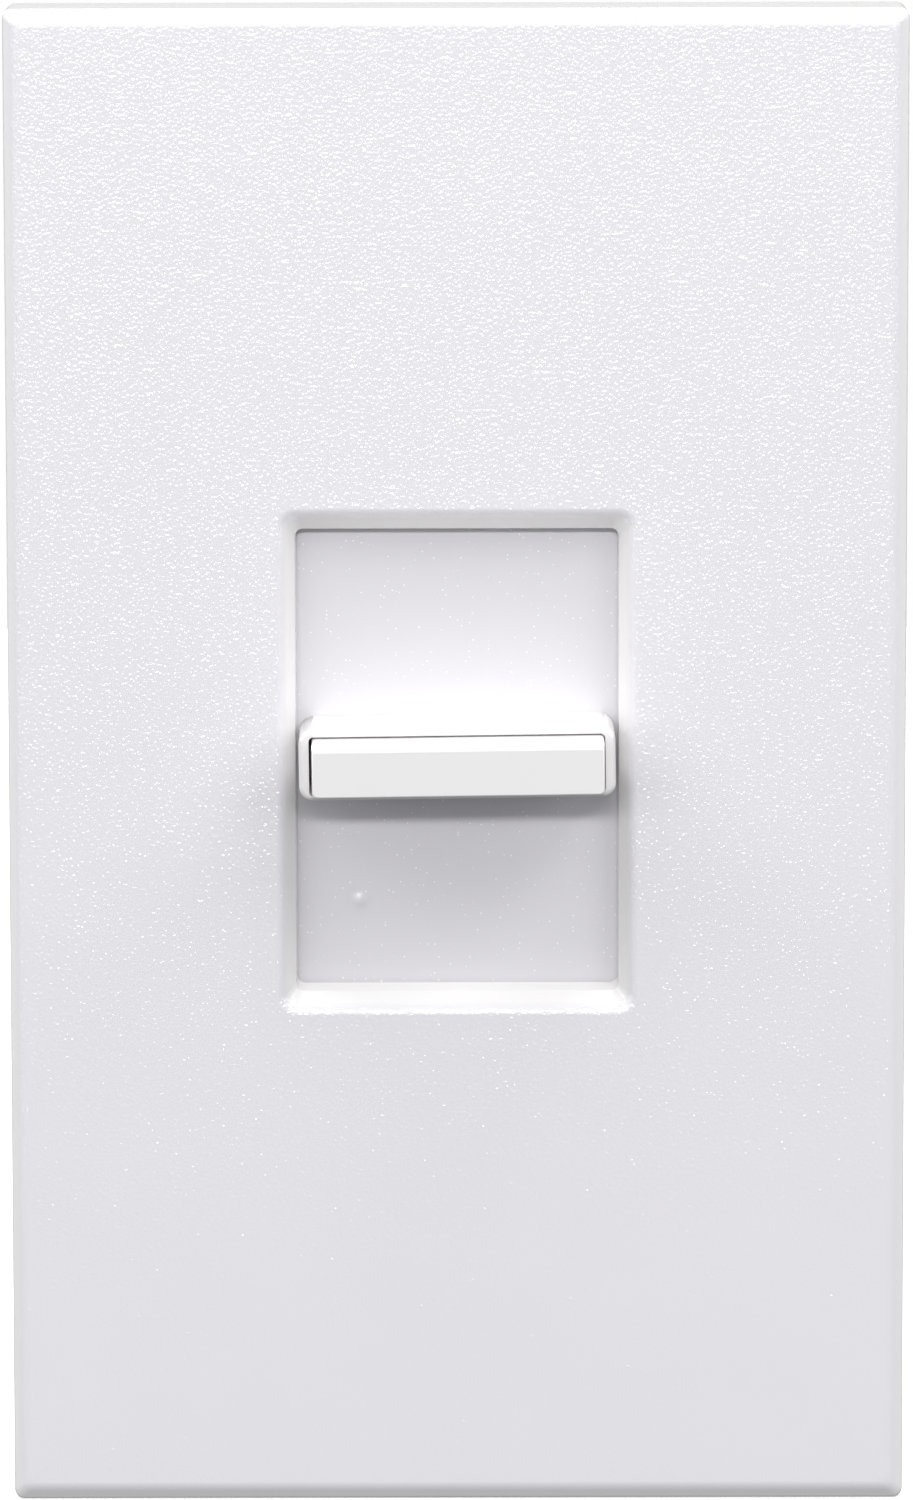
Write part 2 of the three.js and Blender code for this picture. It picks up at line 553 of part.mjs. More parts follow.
function filmCapacitor() {
  const y = [Y.boardBack + STAND, Y.boardBack + STAND + FILM_CAP.depth];
  const outline = roundedRectangle(FILM_CAP.width, FILM_CAP.height, 0.8, FILM_CAP.x, FILM_CAP.z);
  return join(slab(outline, y), ...pair(legs.slice(0, 2), y[0] + 1));
}

function smallCapacitor() {
  const y = [Y.boardBack + STAND, Y.boardBack + STAND + SMALL_CAP.depth];
  const outline = roundedRectangle(SMALL_CAP.width, SMALL_CAP.height, 0.8, SMALL_CAP.x, SMALL_CAP.z);
  return join(slab(outline, y), ...pair(legs.slice(2, 4), y[0] + 1));
}

// A part with a leg at each end, lying on the board: waisted for a resistor, plain for the diac.
function axial({ x, z }, length, radius, waist) {
  const y = Y.boardBack + radius + 0.3;
  const half = length / 2;
  const profile = [
    [0, -half],
    [radius, -half],
    [radius, -half * 0.55],
    [waist, -half * 0.45],
    [waist, half * 0.45],
    [radius, half * 0.55],
    [radius, half],
    [0, half],
  ].map(([r, along]) => new THREE.Vector2(r, along));
  const body = solid(new THREE.LatheGeometry(profile, 12).rotateZ(-Math.PI / 2).translate(x, y, z));
  const reach = AXIAL_PITCH / 2 + LEAD.radius;
  const wire = rod("x", LEAD.radius, { y, z }, [x - reach, x + reach], 6);
  const down = both.map((side) => [x + (side * AXIAL_PITCH) / 2, z]);
  return join(body, wire, ...pair(down, y));
}

function triacBody() {
  const y = [TRIAC.front, TRIAC.front + TRIAC.thick];
  return bar(TRIAC.x + TRIAC.body / 2, TRIAC.z, TRIAC.body, TRIAC.width, y);
}

const TAB = [TRIAC.front, TRIAC.front + TRIAC.tabThick];

function triacTab() {
  const plate = block(
    [TRIAC.x + TRIAC.body + FIT, TRIAC.x + TRIAC.tab],
    TAB,
    [TRIAC.z - TRIAC.width / 2, TRIAC.z + TRIAC.width / 2],
  );
  return cut(plate, rod("y", 1.8, TRIAC_HOLE, [-1, 3], 16));
}

function triacPad() {
  const y = [FIT, TRIAC.front - FIT];
  const pad = bar(TRIAC.x + TRIAC.tab / 2, TRIAC.z, TRIAC.tab + 1, TRIAC.width + 0.6, y);
  return cut(pad, rod("y", 1.8, TRIAC_HOLE, [-1, 3], 16));
}

// The cross recess in a screw's head, from a depth and so much further along Y.
function cross({ x, z }, length, width, front, depth) {
  const y = [front, front + depth];
  return join(bar(x, z, length, width, y), bar(x, z, width, length, y));
}

function triacScrew() {
  const head = [TAB[1] + FIT, TAB[1] + 2.2];
  const shank = rod("y", 1.45, TRIAC_HOLE, [-1.7, head[0] + 1], 12);
  const recess = cross(TRIAC_HOLE, 3, 0.7, head[1] - 1, 2);
  return cut(join(rod("y", 2.75, TRIAC_HOLE, head, 16, 2.3), shank), recess);
}

function triacLead(row) {
  const z = TRIAC.z + row * TRIAC_LEAD.pitch;
  const x = TRIAC.x + TRIAC_LEAD.x;
  const half = TRIAC_LEAD.width / 2;
  return join(
    block([x - half, TRIAC.x - FIT], TRIAC_LEAD.y, [z - half, z + half]),
    block([x - half, x + half], [TRIAC_LEAD.y[0], Y.boardBack + LEAD.past], [z - 0.3, z + 0.3]),
  );
}

// A ring of rectangular section round the choke's axis.
function ring(inner, outer, y, chamfer = 0) {
  const profile = [
    [inner, y[0]],
    [outer - chamfer, y[0]],
    [outer, y[0] + chamfer],
    [outer, y[1] - chamfer],
    [outer - chamfer, y[1]],
    [inner, y[1]],
    [inner, y[0]],
  ];
  const corners = profile.map(([radius, along]) => new THREE.Vector2(radius, along));
  return solid(new THREE.LatheGeometry(corners, 32).translate(CHOKE.x, 0, CHOKE.z));
}

const CORE = [CHOKE.front + CHOKE.wire, CHOKE.front + CHOKE.wire + CHOKE.height];
const GAP = { x: 17.3, z: 30 }; // a point on each edge of the winding's gap, from the choke's middle

function chokeCore() {
  return ring(CHOKE.inner, CHOKE.outer, CORE, 0.6);
}

// The winding as one sleeve round the core, open over a sixth of the ring at the bottom.
function chokeWinding() {
  const air = 0.15;
  const wound = [CORE[0] - CHOKE.wire, CORE[1] + CHOKE.wire];
  const sleeve = cut(
    ring(CHOKE.inner - CHOKE.wire, CHOKE.outer + CHOKE.wire, wound, 0.8),
    ring(CHOKE.inner - air, CHOKE.outer + air, [CORE[0] - air, CORE[1] + air]),
  );
  const gap = new THREE.Shape([
    new THREE.Vector2(CHOKE.x, CHOKE.z),
    new THREE.Vector2(CHOKE.x - GAP.x, CHOKE.z - GAP.z),
    new THREE.Vector2(CHOKE.x + GAP.x, CHOKE.z - GAP.z),
  ]);
  // the wire's two ends leave from the edges of the gap and go through the board
  const middle = CHOKE.outer + CHOKE.wire / 2;
  const tails = both.map((side) => {
    const x = CHOKE.x + side * CHOKE_TAIL.x;
    const z = CHOKE_TAIL.z;
    const y = CHOKE.front + CHOKE.wire / 2;
    const route = new THREE.CatmullRomCurve3([
      new THREE.Vector3(CHOKE.x + side * 0.57 * middle, y, CHOKE.z - 0.82 * middle),
      new THREE.Vector3(x + side * 1.4, y, z + 2.2),
      new THREE.Vector3(x, y - 0.5, z + 0.1),
      new THREE.Vector3(x, BOARD.front - LEAD.past, z),
    ]);
    return sweep(route, disc(CHOKE_TAIL.radius), 9);
  });
  return join(cut(sleeve, slab(gap, [CORE[0] - 3, CORE[1] + 3])), ...tails);
}

function chokeBase() {
  const y = [Y.boardBack + FIT, CHOKE.front - FIT];
  return cut(rod("y", CHOKE.outer, CHOKE, y, 32), rod("y", 4.5, CHOKE, [y[0] - 1, y[1] + 1], 20));
}

// ---------------------------------------------------------------- rear housing, terminals and fasteners

const POCKET_FLOOR = HOUSING.width / 2 - POCKET.depth;
const TAIL = { x: 16.6, width: 0.8, height: 2.8, bend: [16.5, 17.5] }; // from a terminal to the board
const TERMINAL_PLATE = { thick: 1, height: 9.6, y: [15, 27] };
const CLAMP = { x: 20.5, thick: 0.9, height: 8.4, y: [16.4, 25] };
const TERMINAL_SCREW = { y: 20.7, radius: 1.65, hole: 1.9, head: 3.4 };
const SCREW_END = { tip: 15.4, head: 21.05, slot: 22, top: 22.7 }; // along a terminal screw, from the middle
const WIRE_HOLE = { x: 20.7, z: 3.4, width: 2.4, height: 2.6 }; // two behind each terminal
const VENT = { count: 5, top: 30, pitch: 3.4, width: 22, height: 1.5 };
const HOUSING_SCREW = { radius: 1.2, head: 2.5, pilot: 1.35, back: 8.5 };
const RETAINER = { width: 9, height: 7, y: [0.1, 0.9] };

function rearHousing() {
  const back = Y.housing + HOUSING.depth;
  const outer = slab(roundedRectangle(HOUSING.width, HOUSING.height, HOUSING.corner), [Y.housing, back]);
  const inside = [HOUSING.width - 2 * HOUSING.wall, HOUSING.height - 2 * HOUSING.wall];
  const cavity = slab(roundedRectangle(inside[0], inside[1], 1.2), [Y.housing - 1, back - HOUSING.wall]);
  const fill = [];
  const cuts = [];
  for (const side of both) {
    for (const end of both) {
      const at = { x: side * BOSS.x, z: end * BOSS.z };
      fill.push(rod("y", BOSS.radius, at, [Y.housing, back - 1], 16));
      cuts.push(rod("y", HOUSING_SCREW.pilot, at, [Y.housing - 1, Y.housing + BOSS.depth], 10));
    }
    for (const z of [TERMINAL.high, TERMINAL.low]) {
      const wall = POCKET.wall;
      const room = between(side * (HOUSING.width / 2 - 0.5), side * (POCKET_FLOOR - wall));
      const span = [z - POCKET.height / 2, z + POCKET.height / 2];
      fill.push(block(room, [POCKET.y[0] - wall, back - 0.5], [span[0] - wall, span[1] + wall]));
      cuts.push(block(between(side * (HOUSING.width / 2 + 1), side * POCKET_FLOOR), POCKET.y, span));
      cuts.push(rod("x", 2, { y: TERMINAL_SCREW.y, z }, between(side * 14, side * 19), 12));
      cuts.push(bar(side * (POCKET_FLOOR - 0.8), z, 2.6, 4, [TAIL.bend[0] - 0.5, TAIL.bend[1] + 0.5]));
      for (const row of both) {
        const way = [back - 4, back + 1];
        cuts.push(bar(side * WIRE_HOLE.x, z + row * WIRE_HOLE.z, WIRE_HOLE.width, WIRE_HOLE.height, way));
      }
    }
  }
  const vent = [back - HOUSING.wall - 1, back + 1];
  for (let slot = 0; slot < VENT.count; slot++) {
    cuts.push(bar(0, VENT.top - slot * VENT.pitch, VENT.width, VENT.height, vent));
  }
  return cut(join(cut(outer, cavity), ...fill), ...cuts);
}

// A brass strip on the pocket's floor, with a tail that goes through it and down to the board.
function terminalPlate(side, z) {
  const x = side * (POCKET_FLOOR + FIT + TERMINAL_PLATE.thick / 2);
  const plate = bar(x, z, TERMINAL_PLATE.thick, TERMINAL_PLATE.height, TERMINAL_PLATE.y);
  const through = bar(side * (POCKET_FLOOR - 0.9), z, 3, 3, TAIL.bend);
  const tail = bar(side * TAIL.x, z, TAIL.width, TAIL.height, [BOARD.front - LEAD.past, TAIL.bend[1]]);
  const hole = rod("x", TERMINAL_SCREW.hole, { y: TERMINAL_SCREW.y, z }, between(side * 16, side * 22), 12);
  return cut(join(plate, through, tail), hole);
}

function terminalClamp(side, z) {
  const plate = bar(side * CLAMP.x, z, CLAMP.thick, CLAMP.height, CLAMP.y);
  const hole = rod("x", TERMINAL_SCREW.hole, { y: TERMINAL_SCREW.y, z }, between(side * 18, side * 23), 12);
  return cut(plate, hole);
}

// Its head takes a flat driver or a cross one.
function terminalScrew(side, z) {
  const at = { y: TERMINAL_SCREW.y, z };
  const out = (from, to) => between(side * from, side * to);
  const head = rod("x", TERMINAL_SCREW.head, at, out(SCREW_END.head, SCREW_END.top), 18);
  const shank = rod("x", TERMINAL_SCREW.radius, at, out(SCREW_END.tip, SCREW_END.slot), 12);
  const deep = out(SCREW_END.slot, SCREW_END.top + 1);
  const slot = join(
    block(deep, [at.y - 2.6, at.y + 2.6], [z - 0.45, z + 0.45]),
    block(deep, [at.y - 0.45, at.y + 0.45], [z - 1.8, z + 1.8]),
  );
  return cut(join(head, shank), slot);
}

function housingScrew(side, end) {
  const at = { x: side * BOSS.x, z: end * BOSS.z };
  const head = [Y.strap + 0.1, Y.strap + 1.25];
  const shank = rod("y", HOUSING_SCREW.radius, at, [head[1] - 0.25, HOUSING_SCREW.back], 10);
  const recess = cross(at, 2.8, 0.6, head[0] - 1, 1.7);
  return cut(join(rod("y", HOUSING_SCREW.head, at, head, 16), shank), recess);
}

// The two screws that hold the strap to the wall box, and the small washers that keep them in the strap.
function boxScrew(end) {
  const at = { z: end * BOX_SCREW.z };
  const head = [Y.strap + FIT, Y.strap + FIT + BOX_SCREW.headDepth];
  const slot = bar(0, at.z, 2 * BOX_SCREW.headRadius + 1, BOX_SCREW.slot, [head[0] - 1, head[0] + 0.8]);
  const shank = rod("y", BOX_SCREW.radius, at, [head[1] - 0.2, Y.strap + BOX_SCREW.length], 16);
  return cut(join(rod("y", BOX_SCREW.headRadius, at, head, 20), shank), slot);
}

function screwRetainer(end) {
  const at = { z: end * BOX_SCREW.z };
  const square = bar(0, at.z, RETAINER.width, RETAINER.height, RETAINER.y);
  return cut(square, rod("y", BOX_SCREW.radius + 0.03, at, [-1, 3], 16));
}

// ---------------------------------------------------------------- the assembly

add("faceplate", "textured_white", faceplate());
add("mounting_plate", "aluminium", mountingPlate());
add("guide_frame", "black_plastic", guideFrame());

add("shutter", "satin_white", shutter(), slide);
add("knob_frame", "knob_white", knobFrame(), knob);
add("button_cap", "knob_white", buttonCap(), knob);
BUTTON_SPRING.x.forEach((x, i) => {
  const y = [Y.buttonBack - BUTTON_SPRING.seat + FIT, Y.floor - FIT];
  const made = spring(x, BUTTON_Z, BUTTON_SPRING.radius, BUTTON_SPRING.wire, y, BUTTON_SPRING.turns);
  add(`button_spring_${i + 1}`, "spring_steel", made, knob);
});
add("pot_carriage", "natural_nylon", potCarriage(), slide);
add("pot_lever", "zinc_steel", potLever(), slide);
add("pot_wiper", "brass", potWiper(), slide);

add("pot_case", "zinc_steel", potCase());
add("pot_track", "phenolic", potTrack());
add("press_bar", "natural_nylon", pressBar());
add("switch_case", "black_plastic", switchCase());
add("switch_plunger", "natural_nylon", switchPlunger());
add("switch_spring", "spring_steel", switchSpring());
for (const [name, end] of [["bottom", -1], ["top", 1]]) {
  add(`bar_guide_${name}`, "black_plastic", barGuide(end));
  add(`bar_spring_${name}`, "spring_steel", barSpring(end));
  add(`box_screw_${name}`, "zinc_steel", boxScrew(end));
  add(`screw_retainer_${name}`, "grey_plastic", screwRetainer(end));
}

add("circuit_board", "board", circuitBoard());
add("film_capacitor", "film_yellow", filmCapacitor());
add("timing_capacitor", "film_yellow", smallCapacitor());
RESISTORS.forEach((place, i) => add(`resistor_${i + 1}`, "resistor_tan", axial(place, 6.4, 1.25, 1.05)));
add("diac", "diac_blue", axial(DIAC, 4.2, 0.95, 0.95));
add("triac_body", "epoxy", triacBody());
add("triac_tab", "zinc_steel", triacTab());
add("triac_pad", "heat_pad", triacPad());
add("triac_screw", "zinc_steel", triacScrew());
[-1, 0, 1].forEach((row) => add(`triac_lead_${row + 2}`, "zinc_steel", triacLead(row)));
add("choke_base", "black_plastic", chokeBase());
add("choke_core", "ferrite", chokeCore());
add("choke_winding", "enamelled_copper", chokeWinding());

add("rear_housing", "grey_plastic", rearHousing());
const TERMINALS = [
  ["ground", -1, TERMINAL.high, "green_screw"],
  ["common", -1, TERMINAL.low, "dark_screw"],
  ["traveller_1", 1, TERMINAL.high, "brass"],
  ["traveller_2", 1, TERMINAL.low, "brass"],
];
for (const [name, side, z, screw] of TERMINALS) {
  add(`${name}_plate`, "brass", terminalPlate(side, z));
  add(`${name}_clamp`, "zinc_steel", terminalClamp(side, z));
  add(`${name}_screw`, screw, terminalScrew(side, z));
}
both.forEach((side, i) =>
  both.forEach((end, j) => add(`housing_screw_${2 * i + j + 1}`, "zinc_steel", housingScrew(side, end))),
);

export default dimmer;
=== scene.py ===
"""A slim wall dimmer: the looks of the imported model. Metres, in the model's own frame: X right, Z up, front at -Y."""

import json
import math

import bmesh
import bpy
from mathutils import Euler, Matrix, Vector


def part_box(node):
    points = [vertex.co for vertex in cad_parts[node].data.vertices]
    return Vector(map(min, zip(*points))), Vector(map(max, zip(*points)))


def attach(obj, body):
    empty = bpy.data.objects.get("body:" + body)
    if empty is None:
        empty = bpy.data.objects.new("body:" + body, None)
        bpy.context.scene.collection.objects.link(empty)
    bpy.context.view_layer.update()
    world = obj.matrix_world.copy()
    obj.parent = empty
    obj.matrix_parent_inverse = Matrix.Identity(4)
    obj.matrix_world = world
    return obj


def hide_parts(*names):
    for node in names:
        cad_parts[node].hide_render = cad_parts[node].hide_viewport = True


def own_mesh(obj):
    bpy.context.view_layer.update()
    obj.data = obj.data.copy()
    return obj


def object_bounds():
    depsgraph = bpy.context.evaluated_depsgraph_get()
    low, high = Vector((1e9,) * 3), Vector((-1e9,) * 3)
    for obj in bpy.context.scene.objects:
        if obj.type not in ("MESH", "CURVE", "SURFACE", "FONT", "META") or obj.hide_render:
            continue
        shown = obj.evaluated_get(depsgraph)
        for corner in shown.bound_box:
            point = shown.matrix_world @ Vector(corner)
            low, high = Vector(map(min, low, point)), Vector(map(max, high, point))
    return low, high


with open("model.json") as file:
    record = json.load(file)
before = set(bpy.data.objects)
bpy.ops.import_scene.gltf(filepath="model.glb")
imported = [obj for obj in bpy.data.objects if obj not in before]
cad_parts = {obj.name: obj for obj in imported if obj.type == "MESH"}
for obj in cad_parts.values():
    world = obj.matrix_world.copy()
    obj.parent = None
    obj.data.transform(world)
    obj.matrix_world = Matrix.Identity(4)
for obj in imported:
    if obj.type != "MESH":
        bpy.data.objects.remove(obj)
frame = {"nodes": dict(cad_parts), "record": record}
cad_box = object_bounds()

MM = 0.001
TINY = 0.001  # millimetres: stands in for nought where a radius must not vanish


# ---------------------------------------------------------------- camera, lights and stage

VIEW_DISTANCE = 740 * MM
VIEW_ABOVE = 8.5  # degrees over the faceplate's normal
VIEW_ROLL = math.radians(-0.10)
VIEW_AIM = Vector((-0.05, 0, 1.0)) * MM  # from the middle of the faceplate's front
LENS = 228.4
SENSOR = 36


def direction(azimuth, elevation):
    """From the object towards a place at these angles: 0, 0 is straight in front, and azimuth grows to the right."""
    a, e = math.radians(azimuth), math.radians(elevation)
    return Vector((math.sin(a) * math.cos(e), -math.cos(a) * math.cos(e), math.sin(e)))


def aim(thing, place, target, roll=0.0):
    """Puts a camera or a light at a place, looking at the target."""
    turn = (target - place).to_track_quat("-Z", "Y").to_matrix().to_4x4()
    thing.matrix_world = Matrix.Translation(place) @ turn @ Matrix.Rotation(roll, 4, "Z")


def make_camera():
    low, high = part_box("faceplate")
    target = Vector(((low.x + high.x) / 2, low.y, (low.z + high.z) / 2)) + VIEW_AIM
    data = bpy.data.cameras.new("camera")
    data.lens, data.sensor_width, data.sensor_fit = LENS, SENSOR, "AUTO"
    data.clip_start = 0.01
    camera = bpy.data.objects.new("camera", data)
    bpy.context.scene.collection.objects.link(camera)
    place = target + VIEW_DISTANCE * direction(0, VIEW_ABOVE)
    aim(camera, place, target, VIEW_ROLL)
    bpy.context.scene.camera = camera


# name: azimuth, elevation, distance, width, height, watts
LIGHTS = {
    "key": (0, 19, 2.4, 0.75, 0.14, 19.4),
    "upper": (0, 40, 1.6, 0.8, 0.4, 1.7),
    "rear_left": (-148, 30, 1.1, 0.6, 0.5, 3.4),
    "rear_right": (158, 38, 1.1, 0.6, 0.5, 2.6),
    "rear_low": (180, -16, 1.1, 1.3, 0.5, 1.5),
    "crown": (180, 68, 1.0, 0.7, 0.3, 8.0),
    "key_left": (-22, 19, 2.0, 0.7, 0.14, 2.8),
    "top": (0, 80, 1.0, 0.6, 0.4, 4.0),
    "left_low": (-45, 10, 1.0, 0.4, 0.3, 1.15),
    "left_high": (-45, 45, 1.0, 0.4, 0.3, 0.9),
    "left_side": (-75, 40, 1.0, 0.4, 0.4, 2.4),
    "right_low": (45, 16, 1.0, 0.4, 0.3, 1.15),
    "right_high": (45, 45, 1.0, 0.4, 0.3, 1.9),
    "right_side": (75, 40, 1.0, 0.4, 0.4, 1.9),
}
AMBIENT = 0.21
AMBIENT_COLOUR = (0.96, 0.965, 1, 1)
FLOOR_HALF = 0.5
FLOOR_GAP = 0.05 * MM  # left under the object


def make_lights():
    for name, (azimuth, elevation, distance, width, height, watts) in LIGHTS.items():
        data = bpy.data.lights.new(name, "AREA")
        data.shape, data.size, data.size_y = "RECTANGLE", width, height
        data.energy = watts
        light = bpy.data.objects.new(name, data)
        bpy.context.scene.collection.objects.link(light)
        aim(light, distance * direction(azimuth, elevation), Vector((0, 0, 0)))
    world = bpy.data.worlds.new("studio")
    bpy.context.scene.world = world
    world.use_nodes = True
    nodes, links = world.node_tree.nodes, world.node_tree.links
    nodes.clear()
    path = nodes.new("ShaderNodeLightPath")
    ambient, backdrop = nodes.new("ShaderNodeBackground"), nodes.new("ShaderNodeBackground")
    ambient.inputs["Strength"].default_value = AMBIENT
    ambient.inputs["Color"].default_value = AMBIENT_COLOUR
    backdrop.inputs["Color"].default_value = (1, 1, 1, 1)
    mix, output = nodes.new("ShaderNodeMixShader"), nodes.new("ShaderNodeOutputWorld")
    links.new(path.outputs["Is Camera Ray"], mix.inputs["Fac"])
    links.new(ambient.outputs[0], mix.inputs[1])
    links.new(backdrop.outputs[0], mix.inputs[2])
    links.new(mix.outputs[0], output.inputs["Surface"])
    bpy.context.scene.view_settings.view_transform = "Standard"


def make_floor():
    low, _ = cad_box
    half, height = FLOOR_HALF, low[2] - FLOOR_GAP
    corners = [(-half, -half, height), (half, -half, height), (half, half, height), (-half, half, height)]
    mesh = bpy.data.meshes.new("floor")
    mesh.from_pydata(corners, [], [(0, 1, 2, 3)])
    floor = bpy.data.objects.new("floor", mesh)
    bpy.context.scene.collection.objects.link(floor)
    mesh.materials.append(FLOOR)
    # it takes the object's shadow, but neither throws light back up nor holds any off
    floor.visible_diffuse = floor.visible_glossy = floor.visible_shadow = False


# ---------------------------------------------------------------- materials

class Surface:
    """A principled material whose textures are measured in millimetres of the piece itself."""

    def __init__(self, name, colour, roughness, metallic=0.0, **sockets):
        self.material = bpy.data.materials.new(name)
        self.material.use_nodes = True
        self.nodes, self.links = self.material.node_tree.nodes, self.material.node_tree.links
        self.shader = self.nodes["Principled BSDF"]
        self.colour = (*colour, 1)
        self.set(**{"Base Color": self.colour, "Roughness": roughness, "Metallic": metallic}, **sockets)
        self.height = None
        place = self.nodes.new("ShaderNodeTexCoord").outputs["Object"]
        self.mm = self.vector("SCALE", place, scale=1 / MM)
        self.material.diffuse_color = self.colour

    def set(self, **sockets):
        for socket, value in sockets.items():
            self.shader.inputs[socket].default_value = value

    def feed(self, socket, value):
        if hasattr(value, "is_linked"):
            self.links.new(value, socket)
        else:
            socket.default_value = value

    def vector(self, operation, a, b=None, scale=None):
        node = self.nodes.new("ShaderNodeVectorMath")
        node.operation = operation
        self.feed(node.inputs[0], a)
        if b is not None:
            self.feed(node.inputs[1], b)
        if scale is not None:
            self.feed(node.inputs["Scale"], scale)
        return node.outputs["Vector"]

    def maths(self, operation, a, b=0.0):
        node = self.nodes.new("ShaderNodeMath")
        node.operation = operation
        for socket, value in zip(node.inputs, (a, b)):
            self.feed(socket, value)
        return node.outputs[0]

    def remap(self, value, low, high, to_low=0.0, to_high=1.0, smooth=True):
        node = self.nodes.new("ShaderNodeMapRange")
        node.interpolation_type = "SMOOTHSTEP" if smooth else "LINEAR"
        for socket, number in zip(node.inputs, (value, low, high, to_low, to_high)):
            self.feed(socket, number)
        return node.outputs["Result"]

    def axis(self, name, vector=None):
        node = self.nodes.new("ShaderNodeSeparateXYZ")
        self.feed(node.inputs[0], self.mm if vector is None else vector)
        return node.outputs[name]

    def noise(self, size, detail=2.0, roughness=0.5, stretch=(1, 1, 1)):
        """Soft noise, 0 to 1, with features about size millimetres across."""
        node = self.nodes.new("ShaderNodeTexNoise")
        self.feed(node.inputs["Vector"], self.vector("MULTIPLY", self.mm, stretch))
        node.inputs["Scale"].default_value = 1 / size
        node.inputs["Detail"].default_value = detail
        node.inputs["Roughness"].default_value = roughness
        return node.outputs["Fac"]

    def cells(self, size, output="Distance", spread=1.0):
        """Cells about size millimetres across: the distance from their middles, or a colour for each."""
        node = self.nodes.new("ShaderNodeTexVoronoi")
        self.feed(node.inputs["Vector"], self.mm)
        node.inputs["Scale"].default_value = 1 / size
        node.inputs["Randomness"].default_value = spread
        return node.outputs[output]

    def mix(self, share, a, b):
        node = self.nodes.new("ShaderNodeMix")
        node.data_type = "RGBA"
        self.feed(node.inputs["Factor"], share)
        for name, value in (("A", a), ("B", b)):
            self.feed(next(socket for socket in node.inputs if socket.name == name and socket.type == "RGBA"), value)
        return next(socket for socket in node.outputs if socket.type == "RGBA")

    def bump(self, height, amplitude):
        """Adds relief: height runs 0 to 1 over amplitude millimetres."""
        node = self.nodes.new("ShaderNodeBump")
        node.inputs["Distance"].default_value = amplitude * MM
        self.feed(node.inputs["Height"], height)
        if self.height is not None:
            self.links.new(self.height, node.inputs["Normal"])
        self.height = node.outputs["Normal"]
        self.links.new(self.height, self.shader.inputs["Normal"])

    def coat(self, weight, roughness, height, amplitude, ior=1.5):
        """A clear skin with a relief of its own, which catches the light but leaves the shade under it even."""
        self.set(**{"Coat Weight": weight, "Coat Roughness": roughness, "Coat IOR": ior})
        node = self.nodes.new("ShaderNodeBump")
        node.inputs["Distance"].default_value = amplitude * MM
        self.feed(node.inputs["Height"], height)
        self.links.new(node.outputs["Normal"], self.shader.inputs["Coat Normal"])

    def link(self, socket, value):
        self.links.new(value, self.shader.inputs[socket])

    def specks(self, size, share, reach):
        """Sparse specks: a share of the cells holds one, most of them faint; bright ones serve as painted glints, dark
        ones as flecks in the plastic.
        """
        chance = self.cells(size, output="Color")
        chosen = self.maths("LESS_THAN", self.axis("X", chance), share)
        near = self.remap(self.cells(size), reach * 0.4, reach, 1.0, 0.0)
        strength = self.maths("POWER", self.axis("Y", chance), 2)
        return self.maths("MULTIPLY", self.maths("MULTIPLY", chosen, near), strength)


def white_plastic(name, colour, roughness, mottle=0.012):
    made = Surface(name, colour, roughness)
    made.set(**{"IOR": 1.5, "Specular IOR Level": 0.5})
    cloud = made.noise(9, detail=2)
    darker = tuple(c * (1 - 2 * mottle) for c in colour)
    made.tint = made.mix(cloud, (*darker, 1), (*colour, 1))
    return made


PEBBLE = {"size": 0.27, "amplitude": 0.106, "under": 0.006, "roughness": 0.175, "ior": 1.66}
PEBBLE_CRISP = (-45, 45, 0.62, 1.05)  # from a height to a height, how strong it is at each
PEBBLE_EDGE = (0.05, 0.6)  # behind the front: it is whole before the first and gone after the second
# painted light: the bevels of the same plastic get a lighter, neutral colour of their own, while the front is tinted
# bluish as a painted sheen
BEVEL_COLOUR = (0.845, 0.835, 0.83, 1)


def make_textured_white(front):
    """The faceplate's skin: finely pebbled on its front face, matt on its bevels; its front is painted bluish as a
    painted pearlescent sheen, and its bevels a lighter neutral, as they read under the lights.
    """
    # the bluish tint of this colour is a painted sheen of the pebbled front
    made = white_plastic("textured_white", (0.788, 0.777, 0.812), 0.40)
    made.set(**{"Specular IOR Level": 0.25})
    whole, gone = (front / MM + behind for behind in PEBBLE_EDGE)
    on_front = made.remap(made.axis("Y"), whole, gone, 1.0, 0.0)
    made.link("Base Color", made.mix(on_front, BEVEL_COLOUR, made.tint))
    lumps = made.noise(PEBBLE["size"], detail=1, roughness=0.4)
    crisp = made.remap(made.axis("Z"), *PEBBLE_CRISP, smooth=False)
    pebble = made.maths("MULTIPLY", lumps, made.maths("MULTIPLY", on_front, crisp))
    made.coat(1.0, PEBBLE["roughness"], pebble, PEBBLE["amplitude"], PEBBLE["ior"])
    made.bump(pebble, PEBBLE["under"])
    return made.material


# painted glints: white specks in the base colour stand in for mica flakes catching the light, so they show in shade too
GLINT_SPECKS = {"size": 0.30, "share": 0.30, "reach": 0.3}
DARK_SPECKS = {"size": 1.9, "share": 0.05, "reach": 0.06}
DARK_SPECK_COLOUR = (0.35, 0.34, 0.35, 1)


def make_satin_white():
    """The shutter's skin: satin, with painted glints of mica as faint bright specks in its colour, and the odd dark
    speck in the plastic.
    """
    made = white_plastic("satin_white", (0.733, 0.722, 0.752), 0.34, mottle=0.015)
    # painted glints of mica, mixed towards white in the base colour
    painted_glints = made.maths("MULTIPLY", made.specks(**GLINT_SPECKS), 0.9)
    dark = made.maths("MULTIPLY", made.specks(**DARK_SPECKS), 0.6)
    colour = made.mix(painted_glints, made.tint, (1, 1, 1, 1))
    made.link("Base Color", made.mix(dark, colour, DARK_SPECK_COLOUR))
    made.coat(0.35, 0.25, made.noise(0.35, detail=1), 0.03)
    made.bump(made.noise(3.0, detail=1), 0.01)
    return made.material


def make_knob_white():
    made = white_plastic("knob_white", (0.80, 0.79, 0.79), 0.30, mottle=0.004)
    made.link("Base Color", made.tint)
    made.bump(made.noise(0.15, detail=1), 0.001)
    made.link("Roughness", made.remap(made.noise(4), 0.3, 0.7, 0.28, 0.33))
    return made.material


